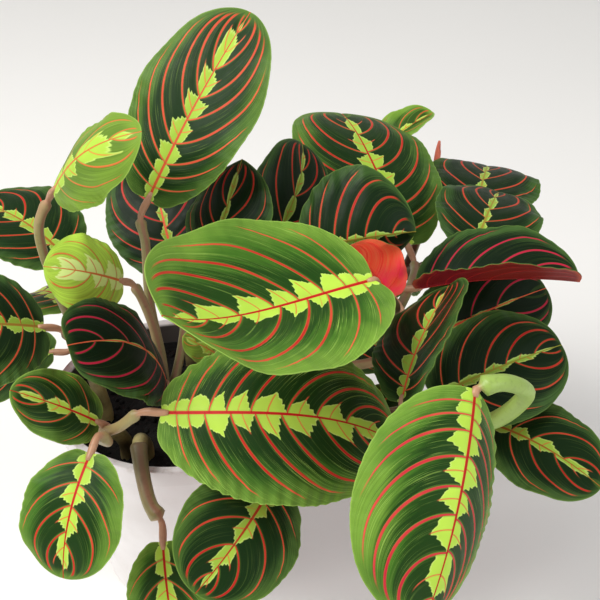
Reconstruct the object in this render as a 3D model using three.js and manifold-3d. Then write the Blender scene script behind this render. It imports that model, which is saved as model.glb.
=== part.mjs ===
// A potted fascinator prayer plant: a plastic growing pot, its soil, leafy shoots and patterned blades.
// Millimetres, +Z up. The origin is the centre of the pot's base, and -Y is the side that is looked at.
import * as THREE from "three";
import Module from "manifold-3d";

const wasm = await Module();
wasm.setup();

// Pot
const POT_HEIGHT = 115;
const POT_TOP_RADIUS = 62;
const POT_BASE_RADIUS = 45;
const POT_WALL = 2;
const POT_FLOOR = 3;
const RIM_HEIGHT = 11;
const RIM_OUT = 2.5;
const DRAIN_RADIUS = 4;
const DRAIN_CIRCLE = 30;
const DRAIN_COUNT = 6;
const POT_SIDES = 48;
const HOLE_SIDES = 16;

// Soil
const GAP = 0.3;
const SOIL_TOP = 103;
const SOIL_CROWN = 3;
const CROWN_SHARE = 0.6;
const STEM_DEPTH = 20;
const HOLE_GAP = 0.4;

// Blades
const BLADE_THICK = 0.8;
const BLADE_ROWS = 9;
const BLADE_CELLS = 6;
const BASE_BLUNTNESS = 0.9;
const TIP_BLUNTNESS = 1.05;
const EAR_SHARE = 0.043;
const EAR_FADE = 8;
const WAVES = 2.5;
const WAVE_HEIGHT = 1.2;
const WAVE_SHIFT = 0.25;
const WAVE_STEP = 1.7;
const ROLLED_END = 0.55;
const ROLLED_STOP = 4;

// Stalks
const STALK_SIDES = 6;
const SHEATH_RADIUS = 2.5;
const PULVINUS_RADIUS = 1.6;
const PULVINUS_LENGTH = 13;
const SHEATH_END = 3;
const HEEL_LENGTH = 9;
const SHOOT_RADIUS = 3.6;
const STALK_STEP = 16;

const COLOURS = {
  dark: 0x23402a,
  mid: 0x4d8238,
  young: 0x93b745,
  stalk: 0x84793f,
  spike: 0xc0554a,
  pot: 0xe4e2e4,
  soil: 0x1e1813,
};

// Each blade: base and tip of its midrib, the way its upper face looks, full width, rise of the midrib over
// its chord at mid-length (arch) and nearer the tip (nod), its sideways sweep, and for the left and right
// half the fold up from flat and the bend down at the margin, in degrees. Left and right are as seen from the
// base, looking at the upper face. A stalk runs from the end of its shoot's stem, or from the stem point
// numbered by at, through its own points to the heel behind the blade's base. Its sheath is a radius, joint is
// the length of its pulvinus, an ear of 0 leaves the blade's base unlobed, and a low blunt makes a blunt tip.
const SHOOTS = [
  {
    name: "shoot_tall_left",
    stem: [[-2, -20, 110], [-3, -20, 120]],
    leaves: [
      { name: "blade_tall_left", tone: "dark", base: [-5, -10, 230], tip: [41, 30, 302],
        faces: [-0.3, -0.75, 0.6], width: 60, arch: 4, nod: 0, fold: [8, 8], bend: [12, 16],
        stalk: [[-4, -18, 146], [-8, -15, 179], [-8, -12, 208]] },
      { name: "blade_behind_tall", tone: "dark", base: [3, 8, 180], tip: [-13, 58, 219],
        faces: [-0.1, -0.8, 0.6], width: 58, arch: 5, nod: 0, fold: [6, 6], bend: [14, 14],
        stalk: [[3, -14, 140], [7, -8, 162]] },
      { name: "blade_young_left", tone: "young", base: [-16, -34, 201], tip: [-44, -56, 222],
        faces: [0, -0.75, 0.65], width: 38, arch: 4, nod: 2, fold: [6, 0], bend: [26, 40],
        stalk: [[-5, -19, 150], [-7, -22, 172]] },
    ],
  },
  {
    name: "shoot_left",
    stem: [[-36, -12, 110], [-38, -12, 122], [-43, -12, 150]],
    leaves: [
      { name: "blade_young_top", tone: "young", base: [-45, -20, 239], tip: [0, -45, 278],
        faces: [-0.2, -0.6, 0.75], width: 42, arch: 6, nod: 3, fold: [-14, -14], bend: [24, 34],
        stalk: [[-53, -13, 190], [-55, -15, 218]] },
      { name: "blade_far_left", tone: "dark", base: [-58, -22, 168], tip: [-118, -52, 178],
        faces: [0, -0.5, 0.85], width: 64, arch: 8, nod: 3, fold: [6, 6], bend: [14, 14],
        stalk: [[-47, -16, 158]] },
    ],
  },
  {
    name: "shoot_front_left",
    stem: [[-22, -38, 110], [-25, -42, 120], [-34, -58, 134]],
    leaves: [
      { name: "blade_lower_front", tone: "mid", base: [5, -88, 170], tip: [105, -82, 148],
        faces: [0.02, -0.43, 0.9], width: 76, arch: 12, nod: 8, sweep: 2, fold: [-1, -18], bend: [10, 22],
        blunt: 0.76, stalk: [[-28, -72, 146], [-15, -83, 158]] },
      { name: "blade_left_low", tone: "mid", base: [-24, -79, 157], tip: [-54, -96, 188],
        faces: [0.3, -0.6, 0.7], width: 30, arch: 4, nod: 0, fold: [6, 6], bend: [14, 14],
        stalk: [[-25, -70, 144]] },
      { name: "blade_left_hanging", tone: "mid", base: [-25, -97, 155], tip: [-36, -126, 112],
        faces: [-0.2, -0.75, 0.6], width: 46, arch: 8, nod: 0, fold: [4, 4], bend: [18, 18],
        stalk: [[-26, -72, 142], [-20, -84, 151]] },
    ],
  },
  {
    name: "shoot_front",
    stem: [[14, -38, 110], [15, -42, 122], [16, -48, 138]],
    leaves: [
      { name: "blade_left_dark", tone: "dark", base: [4, -59, 162], tip: [-27, -100, 213],
        faces: [0.12, -0.54, 0.83], width: 46, arch: 9, nod: 1, sweep: 6, fold: [-1, -10], bend: [15, 15],
        blunt: 0.6, stalk: [[14, -54, 150]] },
      { name: "blade_under_front", tone: "dark", base: [52, -85, 129], tip: [18, -122, 98],
        faces: [0.2, -0.8, 0.5], width: 56, arch: 6, nod: 0, fold: [4, 4], bend: [14, 14],
        stalk: [[34, -56, 146], [56, -70, 143]] },
      { name: "blade_small_young", tone: "young", base: [25, -36, 162], tip: [10, -41, 176],
        faces: [0, -0.7, 0.7], width: 16, arch: 2, nod: 0, fold: [10, 10], bend: [10, 10],
        stalk: [[24, -40, 148]] },
    ],
  },
  {
    name: "shoot_over_rim",
    stem: [[-12, -40, 110], [-13, -46, 119], [-12, -58, 125]],
    leaves: [
      { name: "blade_over_rim", tone: "mid", base: [2, -98, 104], tip: [10, -124, 48],
        faces: [-0.1, -0.9, 0.3], width: 40, arch: 5, nod: 0, fold: [6, 6], bend: [16, 16],
        sheath: 3.8, stalk: [[-9, -72, 122], [-4, -86, 115]] },
    ],
  },
  {
    name: "shoot_right",
    stem: [[30, -14, 110], [36, -17, 124], [66, -27, 154], [104, -37, 180]],
    leaves: [
      { name: "blade_main", tone: "mid", base: [94, -55, 215], tip: [14, -121, 241],
        faces: [-0.15, -0.44, 0.89], width: 83, arch: -5, nod: -5, sweep: 2, fold: [16, 8], bend: [10, -20],
        blunt: 0.55, heel: [98, -48, 205], stalk: [[105, -42, 193]] },
      { name: "blade_red_back", tone: "dark", base: [105, -30, 190], tip: [84, -27, 215],
        faces: [0.25, 0.9, -0.1], width: 32, arch: 3, nod: 0, fold: [10, 10], bend: [10, 10],
        blunt: 1.6, stalk: [[112, -34, 180]] },
      { name: "blade_upper_right", tone: "mid", base: [117, 28, 184], tip: [86, 114, 218],
        faces: [0.13, -0.41, 0.9], width: 78, arch: 11, nod: 2, sweep: -3, fold: [11, -7], bend: [16, 15],
        blunt: 0.56, stalk: [[116, -6, 182]] },
      { name: "blade_right_folded", tone: "dark", base: [117, -16, 186], tip: [190, -26, 196],
        faces: [0, -0.35, 0.93], width: 62, arch: 5, nod: 0, fold: [8, 68], bend: [14, 10],
        ear: 0, at: 2, stalk: [[90, -22, 172]] },
      { name: "blade_right_deep", tone: "dark", base: [117, -28, 162], tip: [184, 6, 172],
        faces: [0, -0.6, 0.8], width: 50, arch: 5, nod: 0, fold: [6, 6], bend: [14, 14],
        at: 2, stalk: [[88, -36, 156]] },
      { name: "blade_inner_right", tone: "dark", base: [78, -2, 139], tip: [126, 14, 124],
        faces: [0, -0.1, 1], width: 52, arch: 8, nod: 0, fold: [6, 6], bend: [14, 14],
        at: 1, stalk: [[56, -10, 132]] },
    ],
  },
  {
    name: "shoot_centre",
    stem: [[14, 4, 110], [15, 4, 124], [20, 3, 140]],
    leaves: [
      { name: "blade_centre_left", tone: "dark", base: [22, -23, 198], tip: [36, 16, 237],
        faces: [-0.42, -0.71, 0.56], width: 45, arch: 4, nod: -1, sweep: 1, fold: [-6, 1], bend: [10, 16],
        blunt: 1.75, stalk: [[16, -5, 160], [18, -20, 178]] },
      { name: "blade_centre", tone: "dark", base: [45, 0, 189], tip: [64, 44, 232],
        faces: [0.58, -0.71, 0.4], width: 50, arch: 5, nod: 4, fold: [11, 5], bend: [17, 12],
        stalk: [[33, -3, 164]] },
      { name: "blade_centre_right", tone: "dark", base: [65, -14, 206], tip: [116, -12, 214],
        faces: [0, -0.8, 0.6], width: 70, arch: 4, nod: 2, fold: [4, -58], bend: [20, 20],
        stalk: [[40, -6, 168], [52, -14, 194]] },
    ],
  },
  {
    name: "shoot_front_right",
    stem: [[38, -30, 110], [44, -34, 124], [92, -56, 142]],
    leaves: [
      { name: "blade_right_grey", tone: "dark", base: [105, -91, 178], tip: [128, -44, 205],
        faces: [-0.42, -0.66, 0.62], width: 56, arch: 9, nod: -3, fold: [-25, 50], bend: [9, 4],
        blunt: 1.1, gap: 0.8, heel: [108, -96, 171], stalk: [[107, -60, 146], [117, -80, 157]] },
      { name: "blade_right_mid", tone: "dark", base: [124, -52, 150], tip: [186, -28, 162],
        faces: [0, -0.6, 0.8], width: 54, arch: 6, nod: 0, fold: [6, 6], bend: [14, 14],
        stalk: [[106, -57, 145]] },
      { name: "blade_front_right", tone: "mid", base: [130, -115, 203], tip: [109, -169, 134],
        faces: [0.08, -0.58, 0.81], width: 79, arch: 12, nod: 1, sweep: -1, fold: [-50, 14], bend: [24, 25],
        blunt: 1, ear: 0, gap: 0.8, sheath: 4, joint: 4,
        heel: [139, -112, 204], stalk: [[118, -68, 146], [144, -84, 162], [153, -100, 190]] },
      { name: "blade_right_low", tone: "dark", base: [150, -48, 132], tip: [198, -82, 122],
        faces: [0, -0.3, 0.9], width: 48, arch: 6, nod: 0, fold: [6, 6], bend: [14, 14],
        stalk: [[122, -44, 134]] },
      { name: "blade_right_under", tone: "mid", base: [88, -22, 118], tip: [134, -30, 92],
        faces: [0.4, -0.2, 0.9], width: 54, arch: 8, nod: 0, fold: [6, 6], bend: [14, 14],
        at: 1, stalk: [[66, -28, 126]] },
    ],
  },
  {
    name: "shoot_back_right",
    stem: [[36, 14, 110], [42, 16, 124], [84, 25, 152], [116, 27, 167]],
    leaves: [
      { name: "blade_rolled", tone: "spike", rolled: true, base: [139, 108, 181], tip: [141, 111, 203],
        faces: [0, -1, 0], width: 4, arch: 0, nod: 0, fold: [0, 0], bend: [0, 0],
        stalk: [[126, 56, 172], [135, 88, 168]] },
      { name: "blade_back_top", tone: "mid", base: [105, 113, 196], tip: [138, 125, 214],
        faces: [-0.1, -0.6, 0.8], width: 28, arch: 2, nod: 0, fold: [0, 50], bend: [14, 6],
        at: 2, stalk: [[90, 48, 170], [97, 84, 180]] },
      { name: "blade_back_right", tone: "dark", base: [152, 46, 187], tip: [170, 114, 186],
        faces: [0, -0.3, 0.95], width: 62, arch: 8, nod: 0, fold: [6, 6], bend: [14, 14],
        stalk: [[138, 28, 178]] },
      { name: "blade_far_right", tone: "dark", base: [146, 4, 195], tip: [167, 62, 196],
        faces: [0, -0.4, 0.9], width: 54, arch: 6, nod: 0, fold: [6, 6], bend: [14, 14],
        stalk: [[132, 10, 184]] },
      { name: "blade_back_right_low", tone: "dark", base: [82, 58, 134], tip: [124, 102, 114],
        faces: [0.2, 0.2, 1], width: 54, arch: 8, nod: 0, fold: [6, 6], bend: [14, 14],
        at: 1, stalk: [[60, 38, 132]] },
    ],
  },
  {
    name: "shoot_back",
    stem: [[4, 34, 110], [4, 36, 122], [4, 40, 134]],
    leaves: [
      { name: "blade_back_middle", tone: "dark", base: [8, 52, 152], tip: [0, 122, 150],
        faces: [0, 0.1, 1], width: 58, arch: 10, nod: 0, fold: [6, 6], bend: [14, 14],
        stalk: [] },
      { name: "blade_back_inner", tone: "mid", base: [54, 58, 150], tip: [84, 124, 138],
        faces: [0, 0.1, 1], width: 60, arch: 10, nod: 0, fold: [6, 6], bend: [14, 14],
        stalk: [[30, 46, 142]] },
      { name: "blade_back_upper", tone: "dark", base: [44, 46, 174], tip: [58, 104, 188],
        faces: [0, -0.2, 1], width: 50, arch: 7, nod: 0, fold: [6, 6], bend: [14, 14],
        stalk: [[16, 42, 150], [36, 40, 166]] },
      { name: "blade_back_low", tone: "dark", base: [24, 72, 118], tip: [34, 132, 84],
        faces: [0, 0.5, 0.85], width: 56, arch: 8, nod: 0, fold: [4, 4], bend: [16, 16],
        stalk: [[14, 54, 132]] },
    ],
  },
  {
    name: "shoot_back_left",
    stem: [[-34, 22, 110], [-36, 24, 124], [-40, 28, 142]],
    leaves: [
      { name: "blade_back_left", tone: "dark", base: [-56, 34, 172], tip: [-112, 72, 184],
        faces: [0, -0.1, 1], width: 62, arch: 8, nod: 0, fold: [6, 6], bend: [14, 14],
        stalk: [[-46, 30, 162]] },
      { name: "blade_back_left_low", tone: "mid", base: [-60, 48, 134], tip: [-100, 92, 108],
        faces: [-0.4, 0.4, 0.8], width: 58, arch: 8, nod: 0, fold: [4, 4], bend: [16, 16],
        stalk: [[-48, 36, 142]] },
      { name: "blade_left_side_low", tone: "dark", base: [-64, 8, 132], tip: [-116, 6, 100],
        faces: [-0.5, -0.1, 0.85], width: 58, arch: 8, nod: 0, fold: [4, 4], bend: [16, 16],
        stalk: [[-52, 18, 144]] },
    ],
  },
];

// Small vector helpers
const vec = (a) => new THREE.Vector3(a[0], a[1], a[2]);
const mix = (a, b, t) => a + (b - a) * t;
const radians = (d) => (d * Math.PI) / 180;

// Rises that reach 1 at mid-length, and at two thirds of the length.
const middleRise = (u) => 4 * u * (1 - u);
const lateRise = (u) => 6.75 * u * u * (1 - u);

function midribPoint(leaf, u) {
  return leaf.from.clone().addScaledVector(leaf.chord, u)
    .addScaledVector(leaf.up, leaf.arch * middleRise(u) + leaf.nod * lateRise(u))
    .addScaledVector(leaf.right, (leaf.sweep ?? 0) * middleRise(u));
}

function midribFrame(leaf, u) {
  const step = 0.001;
  const along = midribPoint(leaf, u + step).sub(midribPoint(leaf, u - step)).normalize();
  const right = along.clone().cross(leaf.up).normalize();
  return { along, right, up: right.clone().cross(along) };
}

// A point of the blade's middle surface. The angle goes from 0 at the base to half a turn at the tip, as round
// an ellipse, and v goes across from -1 at the left margin to 1. The margin is waved and lobed by the base.
function bladePoint(leaf, angle, v) {
  const u = (1 - Math.cos(angle)) / 2;
  const roundness = Math.max(Math.sin(angle), 0);
  const blunt = mix(BASE_BLUNTNESS, leaf.blunt ?? TIP_BLUNTNESS, u);
  const half = (leaf.width / 2) * Math.pow(roundness, blunt);
  const side = v < 0 ? 0 : 1;
  const away = Math.abs(v) * half;
  const fold = radians(leaf.fold[side]);
  const curl = radians(leaf.bend[side]) / (leaf.width / 2) + 1e-6;
  const across = (Math.sin(fold) - Math.sin(fold - curl * away)) / curl;
  const lift = (Math.cos(fold - curl * away) - Math.cos(fold)) / curl;
  const wave = WAVE_HEIGHT * Math.sin(2 * Math.PI * (WAVES * u + WAVE_SHIFT * side) + leaf.phase);
  const ear = (leaf.ear ?? EAR_SHARE) * leaf.width * Math.pow(1 - u, EAR_FADE);
  const { along, right, up } = midribFrame(leaf, u);
  return midribPoint(leaf, u).addScaledVector(right, Math.sign(v) * across)
    .addScaledVector(up, lift + wave * v * v * roundness)
    .addScaledVector(along, -ear * v * v * Math.min(1, 4 * roundness));
}

function bladeNormal(leaf, angle, v) {
  const step = 0.01;
  const a = Math.min(Math.max(angle, 3 * step), Math.PI - 3 * step);
  const alongStep = bladePoint(leaf, a + step, v).sub(bladePoint(leaf, a - step, v));
  const acrossStep = bladePoint(leaf, a, v + step).sub(bladePoint(leaf, a, v - step));
  return acrossStep.cross(alongStep).normalize();
}

function settle(leaf, index) {
  leaf.from = vec(leaf.base);
  leaf.chord = vec(leaf.tip).sub(leaf.from);
  const along = leaf.chord.clone().normalize();
  const faces = vec(leaf.faces);
  leaf.up = faces.addScaledVector(along, -faces.dot(along)).normalize();
  leaf.right = along.clone().cross(leaf.up);
  leaf.phase = index * WAVE_STEP;
  return leaf;
}

// A young blade that is still rolled up, as a slim spindle.
function rolledGeometry(leaf) {
  const route = [0, 0.5, 1].map((u) => midribPoint(leaf, u));
  const length = leaf.chord.length();
  const swell = (distance) => Math.sin(Math.PI * Math.min(1, distance / length));
  const radius = (distance) => (leaf.width / 2) * mix(ROLLED_END, 1, swell(distance));
  return tubeGeometry(route, radius, [0, ROLLED_STOP]);
}

// One closed blade: the same grid of triangles on both faces, joined by a strip round the margin.
function bladeGeometry(leaf) {
  const points = [];
  const faces = [];
  const layer = (offset) => {
    const first = points.length;
    const put = (angle, v) => {
      points.push(bladePoint(leaf, angle, v).addScaledVector(bladeNormal(leaf, angle, v), offset));
    };
    put(0, 0);
    for (let row = 1; row <= BLADE_ROWS; row++) {
      for (let cell = 0; cell <= BLADE_CELLS; cell++) {
        put((Math.PI * row) / (BLADE_ROWS + 1), (2 * cell) / BLADE_CELLS - 1);
      }
    }
    put(Math.PI, 0);
    return first;
  };
  const tops = layer(BLADE_THICK / 2);
  const unders = layer(-BLADE_THICK / 2);
  const last = unders - 1;
  const at = (row, cell) => 1 + (row - 1) * (BLADE_CELLS + 1) + cell;
  const both = (a, b, c) => {
    faces.push(a, b, c);
    faces.push(a + unders, c + unders, b + unders);
  };
  for (let cell = 0; cell < BLADE_CELLS; cell++) {
    both(tops, at(1, cell + 1), at(1, cell));
    for (let row = 1; row < BLADE_ROWS; row++) {
      const [a, b, c, d] = [at(row, cell), at(row, cell + 1), at(row + 1, cell + 1), at(row + 1, cell)];
      both(a, b, c);
      both(a, c, d);
    }
    both(last, at(BLADE_ROWS, cell), at(BLADE_ROWS, cell + 1));
  }
  const margin = [tops];
  for (let row = 1; row <= BLADE_ROWS; row++) margin.push(at(row, BLADE_CELLS));
  margin.push(last);
  for (let row = BLADE_ROWS; row >= 1; row--) margin.push(at(row, 0));
  margin.forEach((a, i) => {
    const b = margin[(i + 1) % margin.length];
    faces.push(a, a + unders, b + unders);
    faces.push(a, b + unders, b);
  });
  return solidGeometry(points, faces);
}

function solidGeometry(points, faces) {
  const geometry = new THREE.BufferGeometry();
  const places = points.flatMap((p) => p.toArray());
  geometry.setAttribute("position", new THREE.Float32BufferAttribute(places, 3));
  geometry.setIndex(faces);
  return geometry;
}

// A closed round tube through the points, with a radius for each distance from its far end. It has a ring at
// each of the stops, which are distances from that end too, and more rings evenly after the last of them.
function tubeGeometry(route, radiusAt, stops) {
  const curve = new THREE.CatmullRomCurve3(route, false, "centripetal");
  curve.arcLengthDivisions = 400;
  const length = curve.getLength();
  const lastStop = stops[stops.length - 1];
  const rest = Math.max(2, Math.round((length - lastStop) / STALK_STEP));
  const distances = [...stops];
  for (let i = 1; i <= rest; i++) distances.push(mix(lastStop, length, i / rest));
  distances.reverse();
  const points = [];
  const faces = [];
  let side = new THREE.Vector3(1, 0.3, 0.1);
  const rings = distances.map((distance) => {
    const t = Math.min(Math.max(1 - distance / length, 0), 1);
    const centre = curve.getPointAt(t);
    const along = curve.getTangentAt(t);
    side = side.clone().addScaledVector(along, -side.dot(along)).normalize();
    const other = along.clone().cross(side);
    const first = points.length;
    for (let k = 0; k < STALK_SIDES; k++) {
      const a = (2 * Math.PI * k) / STALK_SIDES;
      const out = side.clone().multiplyScalar(Math.cos(a)).addScaledVector(other, Math.sin(a));
      points.push(centre.clone().addScaledVector(out, radiusAt(distance)));
    }
    return first;
  });
  for (let r = 0; r + 1 < rings.length; r++) {
    for (let k = 0; k < STALK_SIDES; k++) {
      const n = (k + 1) % STALK_SIDES;
      faces.push(rings[r] + k, rings[r] + n, rings[r + 1] + n);
      faces.push(rings[r] + k, rings[r + 1] + n, rings[r + 1] + k);
    }
  }
  const end = rings[rings.length - 1];
  for (let k = 1; k + 1 < STALK_SIDES; k++) {
    faces.push(rings[0], rings[0] + k + 1, rings[0] + k);
    faces.push(end, end + k, end + k + 1);
  }
  return solidGeometry(points, faces);
}

function toSolid(geometry) {
  return new wasm.Manifold(new wasm.Mesh({
    numProp: 3,
    vertProperties: new Float32Array(geometry.attributes.position.array),
    triVerts: new Uint32Array(geometry.index.array),
  }));
}

function fromSolid(solid) {
  const mesh = solid.getMesh();
  const geometry = new THREE.BufferGeometry();
  geometry.setAttribute("position", new THREE.Float32BufferAttribute(Array.from(mesh.vertProperties), 3));
  geometry.setIndex(Array.from(mesh.triVerts));
  return geometry;
}

// A sheathed stalk narrows to the slim pulvinus, which bends into the blade's midrib and ends short of it.
function stalkGeometry(leaf, start) {
  const along = midribFrame(leaf, 0).along;
  const heel = leaf.heel ? vec(leaf.heel) : leaf.from.clone().addScaledVector(along, -HEEL_LENGTH);
  const seat = leaf.from.clone().addScaledVector(heel.clone().sub(leaf.from).normalize(), leaf.gap ?? GAP);
  const route = [start, ...leaf.stalk.map(vec), heel, seat];
  const sheath = leaf.sheath ?? SHEATH_RADIUS;
  const joint = leaf.joint ?? PULVINUS_LENGTH;
  const radius = (distance) => (distance <= joint ? PULVINUS_RADIUS : sheath);
  const stops = [0, joint / 2, joint, joint + SHEATH_END];
  return tubeGeometry(route, radius, stops);
}

// One shoot: its stem from the bottom of its hole in the soil, and a stalk for each of its blades.
function shootGeometry(shoot) {
  const stem = shoot.stem.map(vec);
  const foot = stem[0].clone().setZ(SOIL_TOP - STEM_DEPTH);
  const route = [foot, foot.clone().setZ(SOIL_TOP - STEM_DEPTH / 2), ...stem];
  let solid = toSolid(tubeGeometry(route, () => SHOOT_RADIUS, [0, SHOOT_RADIUS]));
  for (const leaf of shoot.leaves) {
    const start = leaf.at === undefined ? stem[stem.length - 1] : stem[leaf.at];
    solid = solid.add(toSolid(stalkGeometry(leaf, start)));
  }
  return fromSolid(solid);
}

function uprightCylinder(radius, height, x, y, z) {
  const geometry = new THREE.CylinderGeometry(radius, radius, height, HOLE_SIDES);
  geometry.rotateX(Math.PI / 2);
  geometry.translate(x, y, z + height / 2);
  return toSolid(mergedByPlace(geometry));
}

// The same faces with one point wherever several lie together, and without the faces that this closes up.
function mergedByPlace(geometry) {
  const position = geometry.attributes.position;
  const known = new Map();
  const points = [];
  const map = [];
  for (let i = 0; i < position.count; i++) {
    const p = new THREE.Vector3().fromBufferAttribute(position, i);
    const key = p.toArray().map((x) => Math.round(x * 1e4)).join(",");
    if (!known.has(key)) {
      known.set(key, points.length);
      points.push(p);
    }
    map.push(known.get(key));
  }
  const faces = [];
  for (let i = 0; i < geometry.index.count; i += 3) {
    const [a, b, c] = [0, 1, 2].map((k) => map[geometry.index.getX(i + k)]);
    if (a !== b && b !== c && a !== c) faces.push(a, b, c);
  }
  return solidGeometry(points, faces);
}

// A profile of (radius, height) points that starts and ends on the axis, turned about it.
function turned(profile) {
  const points = profile.map(([r, z]) => new THREE.Vector2(r, z));
  const geometry = new THREE.LatheGeometry(points, POT_SIDES);
  geometry.rotateX(Math.PI / 2);
  return toSolid(mergedByPlace(geometry));
}

function wallRadius(z) {
  return mix(POT_BASE_RADIUS, POT_TOP_RADIUS, z / POT_HEIGHT);
}

// A tapered growing pot with a stepped rim and drain holes through its flat floor.
function potGeometry() {
  const rimFoot = POT_HEIGHT - RIM_HEIGHT;
  let solid = turned([
    [0, 0], [POT_BASE_RADIUS, 0], [wallRadius(rimFoot), rimFoot], [wallRadius(rimFoot) + RIM_OUT, rimFoot],
    [POT_TOP_RADIUS + RIM_OUT, POT_HEIGHT], [POT_TOP_RADIUS - POT_WALL, POT_HEIGHT],
    [wallRadius(POT_FLOOR) - POT_WALL, POT_FLOOR], [0, POT_FLOOR],
  ]);
  for (let i = 0; i < DRAIN_COUNT; i++) {
    const a = (2 * Math.PI * i) / DRAIN_COUNT;
    const [x, y] = [DRAIN_CIRCLE * Math.cos(a), DRAIN_CIRCLE * Math.sin(a)];
    solid = solid.subtract(uprightCylinder(DRAIN_RADIUS, 3 * POT_FLOOR, x, y, -POT_FLOOR));
  }
  return fromSolid(solid);
}

// The soil fills the pot, is a little higher in the middle and has a plain hole for each stem.
function soilGeometry() {
  const floor = POT_FLOOR + GAP;
  let solid = turned([
    [0, floor], [wallRadius(floor) - POT_WALL - GAP, floor],
    [wallRadius(SOIL_TOP) - POT_WALL - GAP, SOIL_TOP],
    [CROWN_SHARE * POT_TOP_RADIUS, SOIL_TOP + CROWN_SHARE * SOIL_CROWN], [0, SOIL_TOP + SOIL_CROWN],
  ]);
  for (const shoot of SHOOTS) {
    const [x, y] = shoot.stem[0];
    const bottom = SOIL_TOP - STEM_DEPTH - GAP;
    solid = solid.subtract(uprightCylinder(SHOOT_RADIUS + HOLE_GAP, 2 * STEM_DEPTH, x, y, bottom));
  }
  return fromSolid(solid);
}

function part(name, geometry, color, roughness) {
  const material = new THREE.MeshStandardMaterial({ color, roughness, metalness: 0 });
  const mesh = new THREE.Mesh(geometry, material);
  mesh.name = name;
  return mesh;
}

const plant = new THREE.Group();
plant.add(part("pot", potGeometry(), COLOURS.pot, 0.35));
plant.add(part("soil", soilGeometry(), COLOURS.soil, 0.95));
SHOOTS.forEach((shoot, i) => {
  shoot.leaves.forEach((leaf, k) => {
    settle(leaf, 5 * i + k);
    const geometry = leaf.rolled ? rolledGeometry(leaf) : bladeGeometry(leaf);
    plant.add(part(leaf.name, geometry, COLOURS[leaf.tone], 0.45));
  });
  plant.add(part(shoot.name, shootGeometry(shoot), COLOURS.stalk, 0.55));
});

export default plant;
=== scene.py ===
"""Dresses the packed frame of a potted fascinator prayer plant: blades, shoots, soil, pot and a pale studio.

The frame is the solids of the plant in metres. Lengths in the tables here are millimetres, as in its source.
"""

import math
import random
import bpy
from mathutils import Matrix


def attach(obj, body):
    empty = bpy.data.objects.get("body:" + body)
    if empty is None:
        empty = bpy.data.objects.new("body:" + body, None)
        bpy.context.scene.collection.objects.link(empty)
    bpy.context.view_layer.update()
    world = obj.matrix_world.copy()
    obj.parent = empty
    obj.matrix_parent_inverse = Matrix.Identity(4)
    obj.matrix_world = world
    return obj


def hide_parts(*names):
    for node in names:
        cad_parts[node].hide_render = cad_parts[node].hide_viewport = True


bl_info = {
    "name": "Potted Prayer Plant",
    "version": (1, 0, 0),
    "blender": (4, 5, 0),
    "location": "View3D > Sidebar > Prayer Plant",
    "description": "Grows the patterned leaves, stalks, soil and pot of a fascinator prayer plant",
    "category": "Add Mesh",
}

from dataclasses import dataclass

import bmesh
import bpy
import numpy as np
from bpy.props import FloatProperty, FloatVectorProperty, IntProperty, PointerProperty
from mathutils import Vector, noise

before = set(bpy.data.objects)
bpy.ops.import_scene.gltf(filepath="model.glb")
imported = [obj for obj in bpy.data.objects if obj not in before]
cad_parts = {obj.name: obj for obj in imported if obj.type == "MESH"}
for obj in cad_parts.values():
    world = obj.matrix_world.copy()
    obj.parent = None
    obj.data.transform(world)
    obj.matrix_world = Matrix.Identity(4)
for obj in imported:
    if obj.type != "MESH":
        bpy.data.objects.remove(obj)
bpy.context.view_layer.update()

MM = 0.001

# Pot and soil, as the frame has them
POT_HEIGHT = 115
POT_TOP_RADIUS = 62
POT_BASE_RADIUS = 45
POT_WALL = 2
POT_FLOOR = 3
RIM_HEIGHT = 11
RIM_OUT = 2.5
DRAIN_RADIUS = 4
DRAIN_CIRCLE = 30
DRAIN_COUNT = 6
SOIL_TOP = 103
SOIL_CROWN = 3
GAP = 0.3

# Their fine form: how far the pot's edges are rounded, how finely pot and soil are divided, and the crumbs
POT_EDGE = 1.0
POT_SHARP_ANGLE = math.radians(50)
DRAIN_SIDES = 24
POT_SIDES = 144
SOIL_SIDES = 150
SOIL_RINGS = 64
CRUMB_SEED = 12
CRUMB_SIZE = (0.7, 1.1)
LARGE_CRUMB_SIZE = (1.2, 2.1)
CRUMB_SHARE = 0.7

# The form of every blade, as the frame has it
BASE_BLUNTNESS = 0.9
TIP_BLUNTNESS = 1.05
EAR_SHARE = 0.043
EAR_FADE = 8
WAVES = 2.5
WAVE_HEIGHT = 1.2
WAVE_SHIFT = 0.25
WAVE_STEP = 1.7

# The form of every shoot, as the frame has it, and how finely it is divided
HEEL_LENGTH = 9
PULVINUS_LENGTH = 13
PULVINUS_RADIUS = 1.6
SHEATH_RADIUS = 2.5
SHOOT_RADIUS = 3.6
FOOT_DEPTH = 5
COLLAR_GAP = 2
CLASP_LENGTH = 9
SEAM_ANGLE = 0.45
TUBE_SIDE = np.array([0.15, -0.3, 1.0])
TUBE_STEP = 1.7
CURVE_PARTS = 24

# The ribs of a blade: how many a side for its width, how they crowd towards the base, and how strongly and
# how early they turn to the tip in the left and the right half
RIBS_LEAST = 1.3
RIBS_PER_WIDTH = 0.082
RIB_CROWDING = 0.5
RIB_START = 0.14
RIB_LAW = (0.76, 1.2, 0.76, 1.2)
RIB_OFFSET = 0.15
SPACING_LIMITS = (0.3, 16)

# The relief and the pattern of a blade. The widths and heights hold for a blade of the reference width.
REFERENCE_WIDTH = 70
RUFFLE_LENGTH = 6
SCALLOPS = 1.35
GROOVE_DEPTH = 0.55
GROOVE_REACH = 1.3
MIDRIB_DEPTH = 1.0
MIDRIB_REACH = 1.2
LIME_REACH = 8.6
LIGHT_THROUGH = 0.14

# The floor and its backdrop, in metres
FLOOR_REACH = 8.0
BEND_START = 1.6
BEND_RADIUS = 0.9
BACKDROP_HEIGHT = 3.2

# What the lights and the camera look at
LIGHT_AIM = Vector((60, 0, 150)) * MM
CAMERA_AIM = Vector((63, 0, 169)) * MM


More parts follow.
